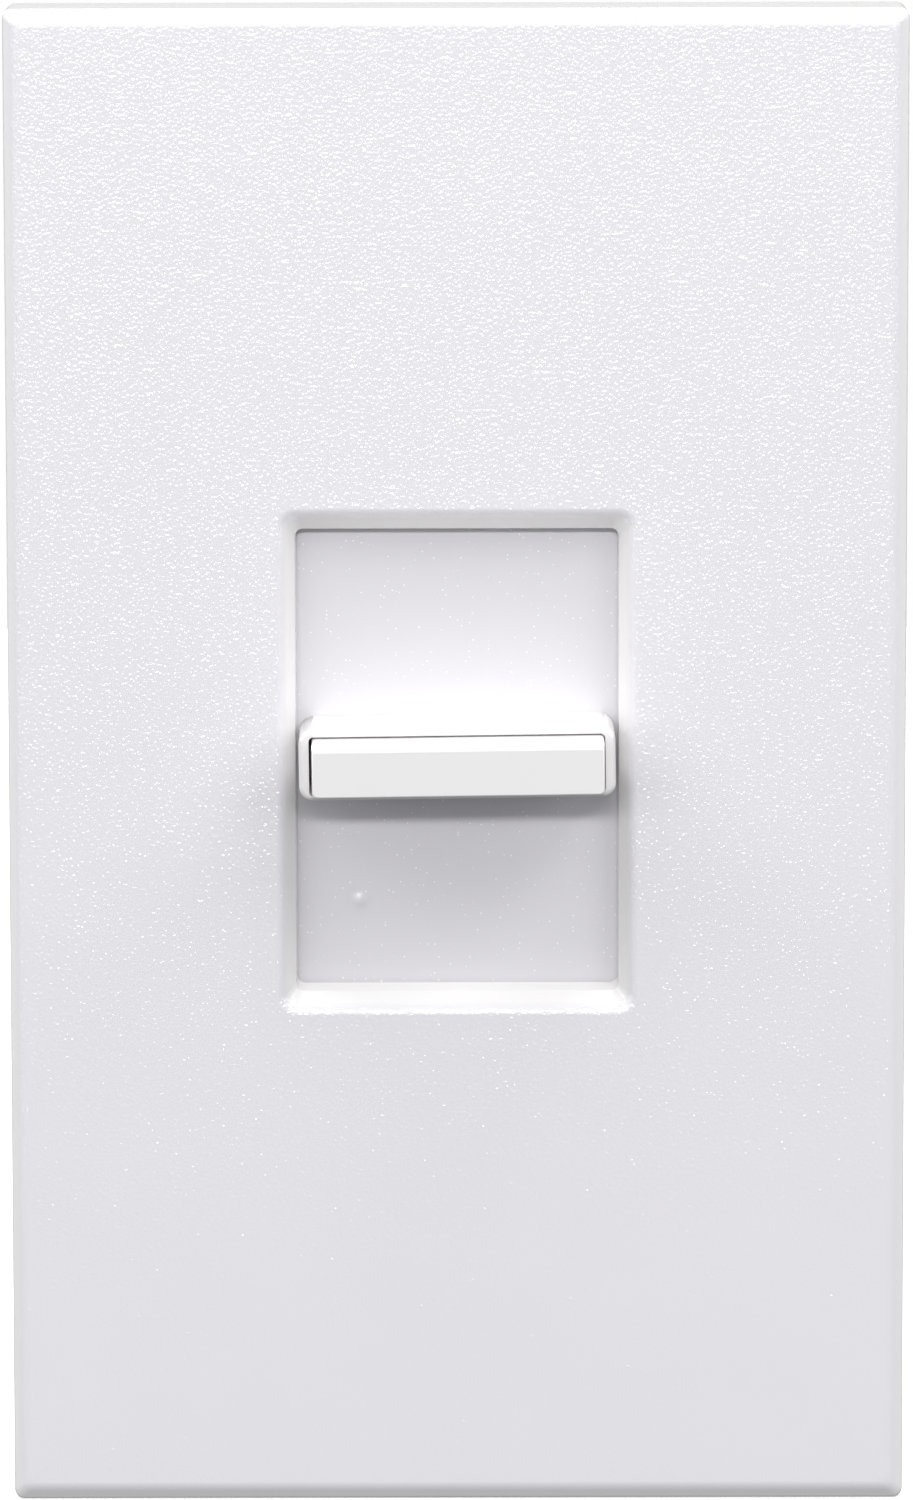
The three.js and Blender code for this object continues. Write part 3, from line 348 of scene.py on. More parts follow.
def moulded(name, colour, roughness, grain=0.18, depth=0.006, vary=0.12):
    """Spark-eroded moulded plastic."""
    made = Surface(name, colour, roughness)
    lighter = tuple(min(1, c * (1 + vary) + 0.004) for c in colour)
    made.link("Base Color", made.mix(made.noise(2.2, detail=4), (*colour, 1), (*lighter, 1)))
    made.link("Roughness", made.remap(made.noise(1.4, detail=3), 0.3, 0.7, roughness - 0.06, roughness + 0.08))
    made.bump(made.noise(grain, detail=3, roughness=0.6), depth)
    return made.material


def metal(name, colour, roughness, brush=None, stain=0.25):
    """Plated or bare metal: brush stretches its marks along an axis."""
    made = Surface(name, colour, roughness, metallic=1.0)
    darker = tuple(c * (1 - stain) for c in colour)
    made.link("Base Color", made.mix(made.noise(3.5, detail=5, roughness=0.65), (*darker, 1), (*colour, 1)))
    stretch = brush or (1, 1, 1)
    marks = made.noise(0.35, detail=4, roughness=0.6, stretch=stretch)
    made.link("Roughness", made.remap(marks, 0.25, 0.75, roughness - 0.1, roughness + 0.12))
    made.bump(marks, 0.004 if brush else 0.002)
    return made.material


WEAVE_PITCH = 0.9
COPPER_AREA = {"size": 5.5, "spread": 0.55}


def make_circuit_board():
    """Woven glass under green solder mask, with areas of copper that show through as lighter patches."""
    made = Surface("board", (0.02, 0.13, 0.045), 0.34)
    made.set(**{"Coat Weight": 0.5, "Coat Roughness": 0.15})
    threads = (made.maths("MULTIPLY", made.axis(name), 2 * math.pi / WEAVE_PITCH) for name in "XZ")
    weave = made.maths("MULTIPLY", *(made.maths("SINE", thread) for thread in threads))
    area = made.cells(output="Color", **COPPER_AREA)
    track = made.maths("GREATER_THAN", made.axis("X", area), 0.45)
    mask = made.mix(track, (0.015, 0.10, 0.035, 1), (0.05, 0.24, 0.09, 1))
    made.link("Base Color", made.mix(made.remap(weave, -1, 1, 0, 0.15), mask, (0.1, 0.3, 0.12, 1)))
    made.bump(track, 0.035)
    made.bump(made.remap(weave, -1, 1), 0.004)
    return made.material


TRACK_PITCH = 4


def make_brown_track():
    """Phenolic board with stripes of carbon along it."""
    made = Surface("phenolic", (0.12, 0.05, 0.02), 0.55)
    wave = made.maths("SINE", made.maths("MULTIPLY", made.axis("X"), 2 * math.pi / TRACK_PITCH))
    stripes = made.maths("GREATER_THAN", wave, 0.2)
    made.link("Base Color", made.mix(stripes, (0.14, 0.06, 0.025, 1), (0.012, 0.012, 0.013, 1)))
    made.bump(made.noise(0.3, detail=3), 0.004)
    return made.material


RING_HALF = 0.3
RINGS = (  # millimetres from the resistor's middle, colour
    (-1.7, (0.25, 0.08, 0.02, 1)),
    (-0.6, (0.02, 0.02, 0.02, 1)),
    (0.5, (0.65, 0.30, 0.02, 1)),
    (1.9, (0.6, 0.42, 0.08, 1)),
)


def make_resistor():
    """Tan lacquer with four colour rings round the body."""
    made = Surface("resistor_tan", (0.55, 0.40, 0.24), 0.3)
    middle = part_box("resistor_1")
    centre = (middle[0].x + middle[1].x) / 2 / MM
    colour = made.mix(made.noise(0.8), (0.50, 0.35, 0.2, 1), (0.60, 0.45, 0.28, 1))
    for place, ring in RINGS:
        away = made.maths("ABSOLUTE", made.maths("SUBTRACT", made.axis("X"), centre + place))
        colour = made.mix(made.maths("LESS_THAN", away, RING_HALF), colour, ring)
    made.link("Base Color", colour)
    made.bump(made.noise(0.4), 0.01)
    return made.material


def dipped(name, colour):
    """A part dipped in epoxy or glazed: glossy, with a slight orange peel."""
    made = Surface(name, colour, 0.22)
    made.set(**{"Coat Weight": 0.4, "Coat Roughness": 0.1})
    darker = tuple(c * 0.82 for c in colour)
    made.link("Base Color", made.mix(made.noise(3, detail=3), (*darker, 1), (*colour, 1)))
    made.bump(made.noise(0.9, detail=2), 0.02)
    return made.material


def make_copper():
    made = Surface("enamelled_copper", (0.42, 0.13, 0.035), 0.22, metallic=0.85)
    made.set(**{"Coat Weight": 0.8, "Coat Roughness": 0.08})
    made.link("Base Color", made.mix(made.noise(1.5, detail=4), (0.30, 0.08, 0.02, 1), (0.52, 0.18, 0.05, 1)))
    made.bump(made.noise(0.5), 0.004)
    return made.material


def make_floor_paper():
    """Pale paper, lit from behind as a product table is, and not seen from underneath."""
    made = Surface("floor_paper", (0.90, 0.90, 0.90), 0.8)
    made.link("Base Color", made.mix(made.noise(60, detail=2), (0.88, 0.88, 0.88, 1), (0.92, 0.92, 0.92, 1)))
    made.set(**{"Emission Color": (1, 1, 1, 1), "Emission Strength": 0.35})
    side = made.nodes.new("ShaderNodeNewGeometry")
    clear, mix = made.nodes.new("ShaderNodeBsdfTransparent"), made.nodes.new("ShaderNodeMixShader")
    made.links.new(side.outputs["Backfacing"], mix.inputs["Fac"])
    made.links.new(made.shader.outputs["BSDF"], mix.inputs[1])
    made.links.new(clear.outputs["BSDF"], mix.inputs[2])
    made.links.new(mix.outputs["Shader"], made.nodes["Material Output"].inputs["Surface"])
    return made.material


FLOOR = make_floor_paper()
MATERIALS = {
    "textured_white": make_textured_white(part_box("faceplate")[0].y),
    "satin_white": make_satin_white(),
    "knob_white": make_knob_white(),
    "aluminium": metal("aluminium", (0.62, 0.63, 0.64), 0.38, brush=(1, 1, 0.05)),
    "black_plastic": moulded("black_plastic", (0.018, 0.018, 0.02), 0.45),
    "grey_plastic": moulded("grey_plastic", (0.07, 0.075, 0.085), 0.48, grain=0.25, depth=0.012),
    "natural_nylon": moulded("natural_nylon", (0.68, 0.63, 0.50), 0.38, vary=0.05),
    "board": make_circuit_board(),
    "phenolic": make_brown_track(),
    "zinc_steel": metal("zinc_steel", (0.60, 0.62, 0.64), 0.30),
    "spring_steel": metal("spring_steel", (0.42, 0.43, 0.45), 0.24, brush=(1, 0.2, 1)),
    "brass": metal("brass", (0.72, 0.50, 0.18), 0.30, stain=0.18),
    "green_screw": metal("green_screw", (0.05, 0.32, 0.11), 0.32),
    "dark_screw": metal("dark_screw", (0.05, 0.05, 0.055), 0.38),
    "epoxy": moulded("epoxy", (0.012, 0.012, 0.013), 0.42, grain=0.12, depth=0.008),
    "ferrite": moulded("ferrite", (0.045, 0.05, 0.055), 0.62, grain=0.3, depth=0.02),
    "enamelled_copper": make_copper(),
    "film_yellow": dipped("film_yellow", (0.72, 0.42, 0.03)),
    "resistor_tan": make_resistor(),
    "diac_blue": dipped("diac_blue", (0.04, 0.13, 0.42)),
    "heat_pad": moulded("heat_pad", (0.30, 0.34, 0.38), 0.75),
}
SLOTS = {part["node"]: part["material_slot"] for part in frame["record"]["subparts"]}
BODY_OF = {node: body for body, nodes in frame["record"]["behaviour"]["bodies"].items() for node in nodes}


# ---------------------------------------------------------------- mesh tools

JOIN_WITHIN = 0.0005 * MM
EASE_JOIN_WITHIN = 0.001 * MM
EASE_FLAT = math.radians(0.6)  # faces closer in slope than this are one face before its edges are eased
EASE_ANGLE = math.radians(32)
EASE_SEGMENTS = 3
LATHE_STEPS = 40
ENVELOPE_STEPS = 12
STRAIGHT = math.radians(89)  # half the angle at a profile's point that needs no rounding


def piece(name, mesh, node, sharp=35, flat=True):
    """A finished object that stands for a CAD node: it rides on that node's body and takes its slot's material.

    Edges over sharp degrees stay sharp, and flat keeps the shading of flat faces flat.
    """
    mesh.name = name
    mesh.materials.clear()
    mesh.materials.append(MATERIALS[SLOTS[node]])
    mesh.shade_smooth()
    mesh.set_sharp_from_angle(angle=math.radians(sharp))
    made = bpy.data.objects.new(name, mesh)
    bpy.context.scene.collection.objects.link(made)
    if flat:
        weighted = made.modifiers.new("flat faces stay flat", "WEIGHTED_NORMAL")
        weighted.keep_sharp = True
    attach(made, BODY_OF[node])
    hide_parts(node)
    return made


def rounded_rectangle(width, height, radius, depth, x=0.0, z=0.0, steps=6):
    """The corner points of a rounded rectangle facing the front, anticlockwise from its right side."""
    radius = max(radius, TINY)
    corners = ((1, 1, 0), (-1, 1, 90), (-1, -1, 180), (1, -1, 270))
    points = []
    for side, end, start in corners:
        for step in range(steps + 1):
            angle = math.radians(start + 90 * step / steps)
            points.append((
                (x + side * (width / 2 - radius) + radius * math.cos(angle)) * MM,
                depth * MM,
                (z + end * (height / 2 - radius) + radius * math.sin(angle)) * MM,
            ))
    return points


def fillet(profile, steps=4):
    """A profile of points, each with the radius its corner is rounded to, as a list of the points to join up."""
    points = [Vector(point) for point, _ in profile]
    made = [points[0]]
    for i in range(1, len(points) - 1):
        radius = profile[i][1]
        back, on = points[i - 1] - points[i], points[i + 1] - points[i]
        back, on = back / back.length, on / on.length
        half = math.acos(max(-1, min(1, back.dot(on)))) / 2
        if radius <= 0 or half > STRAIGHT:
            made.append(points[i])
            continue
        reach = radius / math.tan(half)
        middle = back + on
        centre = points[i] + middle * (radius / math.sin(half) / middle.length)
        first, last = points[i] + back * reach - centre, points[i] + on * reach - centre
        turn = math.pi - 2 * half
        for step in range(steps + 1):
            from_first, from_last = math.sin(turn * (1 - step / steps)), math.sin(turn * step / steps)
            made.append(centre + (first * from_first + last * from_last) / math.sin(turn))
    made.append(points[-1])
    return made


def loft(rings, closed=False):
    """A mesh skinned over rings of equally many points: its ends are capped, or joined to each other if closed."""
    count = len(rings[0])
    verts = [point for ring in rings for point in ring]
    faces = []
    for i in range(len(rings) if closed else len(rings) - 1):
        this, following = i * count, (i + 1) % len(rings) * count
        for j in range(count):
            k = (j + 1) % count
            faces.append((this + j, this + k, following + k, following + j))
    if not closed:
        faces.append(tuple(reversed(range(count))))
        faces.append(tuple(range(len(verts) - count, len(verts))))
    mesh = bpy.data.meshes.new("loft")
    mesh.from_pydata(verts, [], faces)
    return tidy(mesh)


def sweep(path, radius, sides=8):
    """A tube along points in millimetres: a wire, or a screw's thread."""
    points = [Vector(point) * MM for point in path]
    rings, across = [], None
    for i, point in enumerate(points):
        along = (points[min(i + 1, len(points) - 1)] - points[max(i - 1, 0)]).normalized()
        across = along.orthogonal() if across is None else across - along * across.dot(along)
        across.normalize()
        up = along.cross(across)
        angles = [2 * math.pi * side / sides for side in range(sides)]
        rings.append([point + radius * MM * (math.cos(a) * across + math.sin(a) * up) for a in angles])
    return loft(rings)


def lathe(profile, x, z):
    """A body turned about a front-to-back axis at x, z: its profile is radius and depth, from axis to axis."""
    angles = [2 * math.pi * step / LATHE_STEPS for step in range(LATHE_STEPS)]
    return loft([
        [Vector((x + radius * math.cos(a), depth, z + radius * math.sin(a))) * MM for a in angles]
        for radius, depth in profile
    ])


def smooth_path(points, steps):
    """A Catmull-Rom curve through the points, in so many steps from each to the next."""
    points = [Vector(point) for point in points]
    padded = [2 * points[0] - points[1], *points, 2 * points[-1] - points[-2]]
    made = []
    for a, b, c, d in zip(padded, padded[1:], padded[2:], padded[3:]):
        for step in range(steps):
            t = step / steps
            square, cube = 2 * a - 5 * b + 4 * c - d, 3 * b - a - 3 * c + d
            made.append((2 * b + (c - a) * t + square * t ** 2 + cube * t ** 3) / 2)
    return made + [points[-1]]


def together(*meshes):
    """One mesh of several."""
    work = bmesh.new()
    for mesh in meshes:
        work.from_mesh(mesh)
    made = bpy.data.meshes.new("together")
    work.to_mesh(made)
    work.free()
    return made


def tidy(mesh):
    """Joins points that lie together and turns every face outwards."""
    work = bmesh.new()
    work.from_mesh(mesh)
    bmesh.ops.remove_doubles(work, verts=work.verts, dist=JOIN_WITHIN)
    bmesh.ops.recalc_face_normals(work, faces=work.faces)
    work.to_mesh(mesh)
    work.free()
    return mesh


def cuboid(x, y, z):
    """A box between two places, in millimetres, on each axis."""
    work = bmesh.new()
    middle = Vector(((x[0] + x[1]) / 2, (y[0] + y[1]) / 2, (z[0] + z[1]) / 2)) * MM
    size = Vector((x[1] - x[0], y[1] - y[0], z[1] - z[0])) * MM
    bmesh.ops.create_cube(work, size=1, matrix=Matrix.LocRotScale(middle, None, size))
    mesh = bpy.data.meshes.new("cuboid")
    work.to_mesh(mesh)
    work.free()
    return mesh


def settle(obj):
    """The object's mesh with its modifiers applied; the object itself is deleted."""
    graph = bpy.context.evaluated_depsgraph_get()
    mesh = bpy.data.meshes.new_from_object(obj.evaluated_get(graph), depsgraph=graph)
    bpy.data.objects.remove(obj)
    return mesh


def combine(mesh, *others, operation="UNION"):
    """Joins or cuts closed meshes."""
    base = bpy.data.objects.new("base", mesh)
    bpy.context.scene.collection.objects.link(base)
    tools = []
    for other in others:
        tool = bpy.data.objects.new("tool", other)
        bpy.context.scene.collection.objects.link(tool)
        tools.append(tool)
        step = base.modifiers.new("step", "BOOLEAN")
        step.operation, step.solver, step.object = operation, "EXACT", tool
    bpy.context.view_layer.update()
    made = settle(base)
    for tool in tools:
        bpy.data.objects.remove(tool)
    return tidy(made)


def eased(mesh, width):
    """The mesh with its sharp edges rounded over."""
    work = bmesh.new()
    work.from_mesh(mesh)
    bmesh.ops.remove_doubles(work, verts=work.verts, dist=EASE_JOIN_WITHIN)
    bmesh.ops.dissolve_limit(work, angle_limit=EASE_FLAT, verts=work.verts, edges=work.edges)
    bmesh.ops.triangulate(work, faces=[face for face in work.faces if len(face.verts) > 4])
    work.to_mesh(mesh)
    work.free()
    base = bpy.data.objects.new("base", mesh)
    bpy.context.scene.collection.objects.link(base)
    bevel = base.modifiers.new("ease", "BEVEL")
    bevel.width, bevel.segments = width * MM, EASE_SEGMENTS
    bevel.limit_method, bevel.angle_limit = "ANGLE", EASE_ANGLE
    bevel.use_clamp_overlap = True
    bevel.miter_outer = "MITER_ARC"
    bpy.context.view_layer.update()
    return settle(base)


def from_cad(node):
    """A copy of a CAD node's mesh, free to work on."""
    return tidy(frame["nodes"][node].data.copy())


# ---------------------------------------------------------------- pieces

def mm_box(node):
    low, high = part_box(node)
    return [tuple(v / MM for v in low), tuple(v / MM for v in high)]


def envelope(width, height, radius, profile, x=0.0, z=0.0):
    """A solid rounded rectangle along the depth: its profile is how far it draws in and at which depth."""
    return loft([
        rounded_rectangle(width - 2 * inset, height - 2 * inset, max(radius - inset * 0.6, 0.05), depth, x, z,
                          ENVELOPE_STEPS)
        for inset, depth in profile
    ])


FACE_WALL = 2.2  # how thick it is behind the front
FACE_SIDE = 2.1  # how thick its sides are
FACE_BEVEL = (1.0, 0.6)  # inwards, and back from the front
FACE_ROUND = {"foot": 0.12, "rim": 0.3, "bevel": 0.3, "front": 1.6}
FACE_CORNER = (0.75, 0.3)  # radius at the outer edge, and how much smaller for each millimetre inwards
FACE_LAND = (4, 5)  # the front is flat from this far inside the outer edge to this far outside the window
WINDOW = (25.2, 36.4)
WINDOW_SLOPE = (0.95, 1.25, 1.3)  # its chamfer: out to each side, up and down, and back from the front
WINDOW_LIP = (0.1, 0.0, 0.45, 2.55)  # its inner wall narrows at each side, the top and the bottom, back to a depth
WINDOW_ROUND = {"front": 2.9, "throat": 0.12, "back": 0.06}
WINDOW_CORNER = (0.65, 0.5)  # radius in the window, and how much larger for each millimetre outwards
WINDOW_BACK = (0.5, 0.6, 2)  # behind the lip: a step out, then its place and the wall's end at the back
HOOK = {"z": 36, "length": 8, "reach": 1.6, "into_wall": 0.3, "front": -1.15, "back": -0.25, "ease": 0.15}


def make_hook(right, up, half_width):
    """A snap hook inside a side wall of the faceplate."""
    wall = half_width - FACE_SIDE
    across = sorted((right * (wall + HOOK["into_wall"]), right * (wall - HOOK["reach"])))
    along = (up * HOOK["z"] - HOOK["length"] / 2, up * HOOK["z"] + HOOK["length"] / 2)
    return eased(cuboid(across, (HOOK["front"], HOOK["back"]), along), HOOK["ease"])


def make_faceplate(node):
    """One loft: up the outside, over the front, through the window and back behind it."""
    low, high = mm_box(node)
    width, height = high[0] - low[0], high[2] - low[2]
    front = low[1]
    back = front + FACE_WALL
    inset, depth = FACE_BEVEL
    land_outside, land_inside = FACE_LAND
    outer = fillet([
        ((FACE_SIDE, back), 0),
        ((FACE_SIDE, 0), FACE_ROUND["foot"]),
        ((0, 0), FACE_ROUND["rim"]),
        ((0, front + depth), FACE_ROUND["bevel"]),
        ((inset, front), FACE_ROUND["front"]),
        ((land_outside, front), 0),
    ])
    side, end, slope = WINDOW_SLOPE
    *narrows, lip = WINDOW_LIP
    step, behind, wall_end = WINDOW_BACK
    # how far outside the window each ring lies: at the sides, at the top, at the bottom; and its depth
    inner = fillet([
        (Vector((*[land_inside] * 3, front)), 0),
        (Vector((side, end, end, front)), WINDOW_ROUND["front"]),
        (Vector((0, 0, 0, front + slope)), WINDOW_ROUND["throat"]),
        (Vector((*(-narrow for narrow in narrows), front + lip)), WINDOW_ROUND["back"]),
        (Vector((*(step - narrow for narrow in narrows), front + lip)), WINDOW_ROUND["back"]),
        (Vector((*[behind] * 3, back)), WINDOW_ROUND["back"]),
        (Vector((*[wall_end] * 3, back)), 0),
    ], steps=8)
    face_radius, face_less = FACE_CORNER
    window_radius, window_more = WINDOW_CORNER
    rings = [
        rounded_rectangle(width - 2 * x, height - 2 * x, face_radius - x * face_less, depth)
        for x, depth in outer
    ] + [
        rounded_rectangle(WINDOW[0] + 2 * x, WINDOW[1] + top + bottom, window_radius + max(x, 0) * window_more,
                          depth, 0, (top - bottom) / 2)
        for x, top, bottom, depth in inner
    ]
    hooks = [make_hook(right, up, width / 2) for right in (-1, 1) for up in (-1, 1)]
    piece("faceplate_moulding", combine(loft(rings, closed=True), *hooks), node)


KNOB = {"width": 24.5, "height": 5.5, "corner": 1.1, "edge": 0.32, "within": 0.012}
KNOB_POCKET = {"width": 22.9, "height": 4.62, "corner": 0.38, "z": -0.11, "edge": 0.09}
KNOB_LEAN = Matrix.Rotation(math.radians(-0.7), 4, "Y")
RIM_STEPS = 4
PAST = 0.05  # how far a cutting tool reaches past the cut


def knob_middle():
    low, high = mm_box("knob_frame")
    return (low[2] + high[2]) / 2


def level(mesh):
    """Brings a mesh of the leaning knob upright, about the origin."""
    mesh.transform(KNOB_LEAN.inverted() @ Matrix.Translation((0, 0, -knob_middle() * MM)))
    return mesh


def lean(mesh):
    """Puts an upright mesh where the knob is, leaning as it does."""
    mesh.transform(Matrix.Translation((0, 0, knob_middle() * MM)) @ KNOB_LEAN)
    return mesh


def make_knob_frame(node):
    """The CAD frame, with its outer edges and the rim of its pocket rounded."""
    low, high = mm_box(node)
    front = low[1]
    edge, within, lip = KNOB["edge"], KNOB["within"], KNOB_POCKET["edge"]
    soft = fillet([((1.5, front + within), 0), ((within, front + within), edge), ((within, high[1] + 1), 0)], steps=6)
    outside = envelope(KNOB["width"], KNOB["height"], KNOB["corner"], soft[1:])
    angles = [math.pi / 2 * step / RIM_STEPS for step in range(RIM_STEPS + 1)]
    rim = [(-lip * (1 - math.sin(angle)), front + lip * (1 - math.cos(angle))) for angle in angles]
    flare = envelope(KNOB_POCKET["width"], KNOB_POCKET["height"], KNOB_POCKET["corner"],
                     [(-lip - PAST, front - 0.3), *rim, (PAST, front + lip + PAST)], 0, KNOB_POCKET["z"])
    mesh = combine(level(from_cad(node)), outside, operation="INTERSECT")
    piece("knob_frame_moulding", lean(combine(mesh, flare, operation="DIFFERENCE")), node)


BUTTON = {"x": 0.08, "width": 22.6, "height": 4.40, "corner": 0.42, "z": -0.12, "edge": 0.14}
BUTTON_SLOPE = {"height": 0.7, "depth": 0.8, "round": 0.5}
BUTTON_ROUND = {"bottom": 0.12, "top": 0.15}
BUTTON_HEAD = 2.2  # how much of its front is made here
BUTTON_OVERLAP = 0.02  # between that head and the CAD part's back
BUTTON_AROUND = 0.002  # how far the soft outline stands clear of the head's flat faces


def make_button_cap(node):
    """The push button: its head is a soft-edged bar with a long slope on top, and its back is the CAD part's."""
    low, high = mm_box(node)
    front = low[1]
    x, z, clear = BUTTON["x"], BUTTON["z"], BUTTON_AROUND
    bottom, top = z - BUTTON["height"] / 2, z + BUTTON["height"] / 2
    outline = fillet([
        (Vector((front + BUTTON_HEAD, bottom)), 0),
        (Vector((front, bottom)), BUTTON_ROUND["bottom"]),
        (Vector((front, top - BUTTON_SLOPE["height"])), BUTTON_SLOPE["round"]),
        (Vector((front + BUTTON_SLOPE["depth"], top)), BUTTON_ROUND["top"]),
        (Vector((front + BUTTON_HEAD, top)), 0),
    ], steps=5)
    half = BUTTON["width"] / 2 + 1
    bar = loft([[Vector((end, depth, up)) * MM for depth, up in outline] for end in (x - half, x + half)])
    soft = fillet([((1.5, front - clear), 0), ((0, front - clear), BUTTON["edge"]), ((0, front + 6), 0)])[1:]
    around = envelope(BUTTON["width"], BUTTON["height"] + 2 * clear, BUTTON["corner"], soft, x, z)
    behind = cuboid((-13, 13), (front + BUTTON_HEAD - BUTTON_OVERLAP, high[1] + 1), (-4, 4))
    rest = combine(level(from_cad(node)), behind, operation="INTERSECT")
    piece("button_cap_moulding", lean(combine(combine(bar, around, operation="INTERSECT"), rest)), node)


HOUSING = {"corner": 2.5, "edge": 0.9, "within": 0.01}


def make_rear_housing(node):
    """The CAD housing, with its corners and its back edges rounded."""
    low, high = mm_box(node)
    width, height, back, within = high[0] - low[0], high[2] - low[2], high[1], HOUSING["within"]
    soft = fillet([((within, low[1] - 1), 0), ((within, back), HOUSING["edge"]), ((4, back), 0)], steps=6)[:-1]
    outside = envelope(width, height, HOUSING["corner"], soft)
    piece("rear_housing_moulding", combine(from_cad(node), outside, operation="INTERSECT"), node)


SHUTTER_FRONT = -4.8
SHUTTER_EASE = 0.1
GATE_MARK = (-7.7, -11.3, 0.95, 0.12)  # x, z, radius, height
GATE_STEPS = 12
GATE_FLATTENED = 2  # how far from its middle the CAD mark is cleared away
GATE_ROOT = 0.2  # how deep the new one goes into the plate


def make_shutter(node):
    """The CAD plate; its moulding mark goes flat, and a soft one takes its place."""
    mesh = from_cad(node)
    x, z, radius, height = GATE_MARK
    front = SHUTTER_FRONT * MM
    for vert in mesh.vertices:
        near = abs(vert.co.x / MM - x) < GATE_FLATTENED and abs(vert.co.z / MM - z) < GATE_FLATTENED
        if near and vert.co.y < front:
            vert.co.y = front
    profile = []
    for step in range(GATE_STEPS + 1):
        share = step / GATE_STEPS
        rise = height * (0.5 + 0.5 * math.cos(math.pi * share)) ** 1.3
        profile.append((max(radius * share, TINY), SHUTTER_FRONT - rise))
    root = SHUTTER_FRONT + GATE_ROOT
    mark = lathe([*profile, (radius, root), (TINY, root)], x, z)
    piece("shutter_plate", together(eased(tidy(mesh), SHUTTER_EASE), mark), node)


# node: wire radius, turns, the joint that presses it
SPRINGS = {
    "button_spring_1": (0.2, 4.5, "button_press"),
    "button_spring_2": (0.2, 4.5, "button_press"),
    "bar_spring_top": (0.22, 5, "press_bar_press"),
    "bar_spring_bottom": (0.22, 5, "press_bar_press"),
    "switch_spring": (0.18, 3.6, "switch_plunger_press"),
}
END_TURN = 0.8  # the close turn at each end of a spring
CLOSE_PITCH = 2.1  # of the close turns, in wire radii
STEPS_PER_TURN = 24
WIRE_SHARP = 60


def make_spring(node):
    wire, turns, joint = SPRINGS[node]
    low, high = mm_box(node)
    x, z = (low[0] + high[0]) / 2, (low[2] + high[2]) / 2
    radius = (high[0] - low[0]) / 2 - wire
    first, last = low[1] + wire, high[1] - wire
    close = END_TURN * CLOSE_PITCH * wire
    path = []
    steps = round(turns * STEPS_PER_TURN)
    for step in range(steps + 1):
        turn = turns * step / steps
        if turn < END_TURN:
            y = first + close * turn / END_TURN
        elif turn > turns - END_TURN:
            y = last - close * (turns - turn) / END_TURN
        else:
            y = first + close + (last - first - 2 * close) * (turn - END_TURN) / (turns - 2 * END_TURN)
        angle = 2 * math.pi * turn
        path.append((x + radius * math.cos(angle), y, z + radius * math.sin(angle)))
    spring = piece(node + "_coil", sweep(path, wire), node, WIRE_SHARP, flat=False)
    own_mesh(spring)


CHOKE = {"x": -6, "z": 12, "inner": 7, "outer": 12.5, "front": 14.5, "back": 23.5}  # the ring core
CHOKE_WIRE = {"radius": 0.52, "clear": 0.03, "bend": 0.75}
CHOKE_TURNS = {"count": 29, "first": -57, "sweep": 294}  # its angles are degrees round the ring
CHOKE_TAIL = {"x": 3, "z": -3.5, "end": 9.85}
BEND_STEPS = 3


def choke_tail(side, end, front):
    """From the board up to one end of the winding: a curve that stops just short of it."""
    x, z = CHOKE["x"] + side * CHOKE_TAIL["x"], CHOKE_TAIL["z"]
    return smooth_path([
        (x, CHOKE_TAIL["end"], z),
        (x, front - 1.6, z),
        (x + side, front - 0.1, z + 1.6),
        (end[0] * 0.8 + x * 0.2, front - 0.02, end[2] - 1.2),
        end,
    ], steps=5)[:-1]


def make_choke_winding(node):
    """Turns of enamelled wire round the ring core, with its two ends down through the board."""
    wire, bend = CHOKE_WIRE["radius"], CHOKE_WIRE["bend"]
    clear = wire + CHOKE_WIRE["clear"]
    front = CHOKE["front"] - clear
    inside, outside = CHOKE["inner"] - clear + bend, CHOKE["outer"] + clear - bend
    near, far = front + bend, CHOKE["back"] + clear - bend
    # one turn: radius from the ring's axis and depth, starting at the back outside
    turn = []
    for corner, (radius, depth) in enumerate(((outside, far), (inside, far), (inside, near), (outside, near))):
        for step in range(BEND_STEPS + 1):
            angle = math.radians(90 * (corner + step / BEND_STEPS))
            turn.append((radius + bend * math.cos(angle), depth + bend * math.sin(angle)))
    path = []
    count = CHOKE_TURNS["count"] * len(turn)
    for i in range(count + 1):
        radius, depth = turn[i % len(turn)]
        angle = math.radians(CHOKE_TURNS["first"] + CHOKE_TURNS["sweep"] * i / count)
        path.append((CHOKE["x"] + radius * math.cos(angle), depth, CHOKE["z"] + radius * math.sin(angle)))
    start, end = choke_tail(1, path[0], front), choke_tail(-1, path[-1], front)
    piece("choke_winding_wire", sweep(start + path + end[::-1], wire, sides=10), node, WIRE_SHARP, flat=False)


BOX_SCREW = {"head": 3.4, "depth": 1.5, "major": 1.7, "minor": 1.32, "pitch": 0.8, "point": 0.6}
BOX_SCREW_DOME = ((TINY, 0), (1.2, 0.03), (2.2, 0.14), (2.9, 0.36), (3.28, 0.66))  # radius, back from the front
BOX_SCREW_SLOT = (0.5, 0.85)  # half its width, its depth
THREAD = {"wire": 0.24, "sunk": 0.02, "start": 1.2, "end": 0.7, "fade": 0.8, "steps": 18}


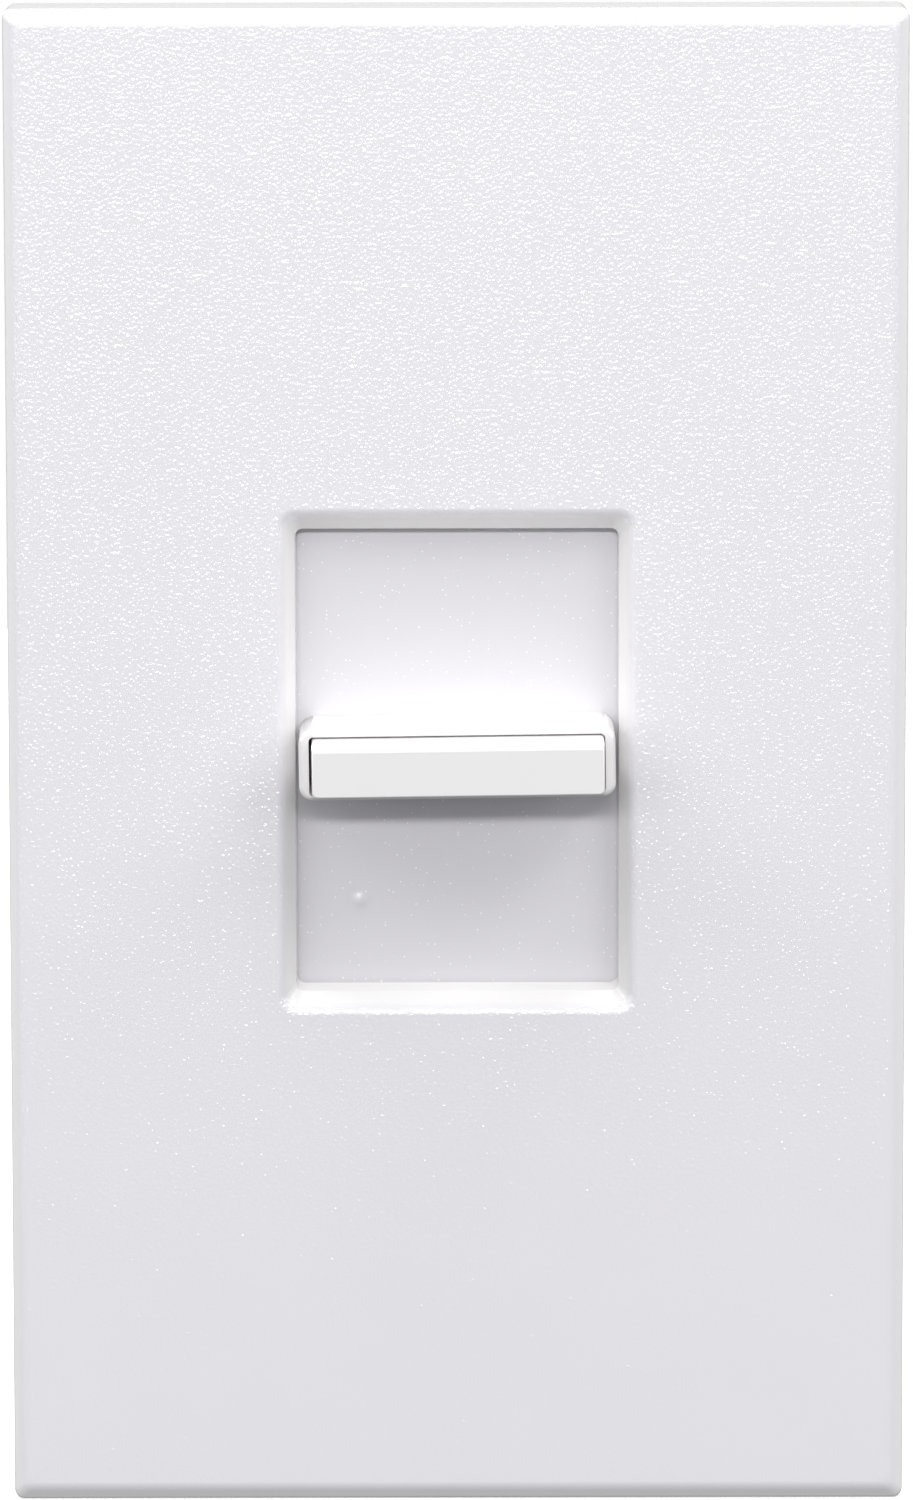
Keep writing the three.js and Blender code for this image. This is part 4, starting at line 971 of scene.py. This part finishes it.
def make_box_screw(node):
    """An oval-head screw with a rolled thread and a slot."""
    low, high = mm_box(node)
    x, z, front, tip = 0, (low[2] + high[2]) / 2, low[1], high[1]
    head, minor, pitch, point = BOX_SCREW["head"], BOX_SCREW["minor"], BOX_SCREW["pitch"], BOX_SCREW["point"]
    under = front + BOX_SCREW["depth"]
    top = [(radius, front + back) for radius, back in BOX_SCREW_DOME]
    rim = [(head, front + 0.9), (head, under - 0.12), (head - 0.12, under)]
    stem = [(minor + 0.1, under), (minor, under + 0.15), (minor, tip - point), (minor - 0.45, tip), (TINY, tip)]
    slot_half, slot_depth = BOX_SCREW_SLOT
    slot = cuboid((-head - 1, head + 1), (front - 1, front + slot_depth), (z - slot_half, z + slot_half))
    body = combine(lathe(top + rim + stem, x, z), slot, operation="DIFFERENCE")
    start, end = under + THREAD["start"], tip - THREAD["end"]
    turns = (end - start) / pitch
    height = BOX_SCREW["major"] - minor - 0.22
    path = []
    for step in range(round(turns * THREAD["steps"]) + 1):
        turn = step / THREAD["steps"]
        fade = min(1, turn / THREAD["fade"], (turns - turn) / THREAD["fade"] + 0.01)
        angle = 2 * math.pi * turn
        radius = minor + height * fade - THREAD["sunk"]
        path.append((x + radius * math.cos(angle), start + pitch * turn, z + radius * math.sin(angle)))
    piece(node + "_turned", together(body, sweep(path, THREAD["wire"], sides=6)), node)


EASE = {"mounting_plate": 0.12, "guide_frame": 0.12}
EASE_OTHERS = 0.1


def make_eased(node):
    """The CAD mesh with its edges rounded over."""
    piece(node + "_fine", eased(from_cad(node), EASE.get(node, EASE_OTHERS)), node)


CUSTOM = {
    "faceplate": make_faceplate,
    "shutter": make_shutter,
    "knob_frame": make_knob_frame,
    "button_cap": make_button_cap,
    "rear_housing": make_rear_housing,
    "choke_winding": make_choke_winding,
    "box_screw_top": make_box_screw,
    "box_screw_bottom": make_box_screw,
    **{node: make_spring for node in SPRINGS},
}

make_camera()
make_lights()
make_floor()
for node in frame["nodes"]:
    CUSTOM.get(node, make_eased)(node)
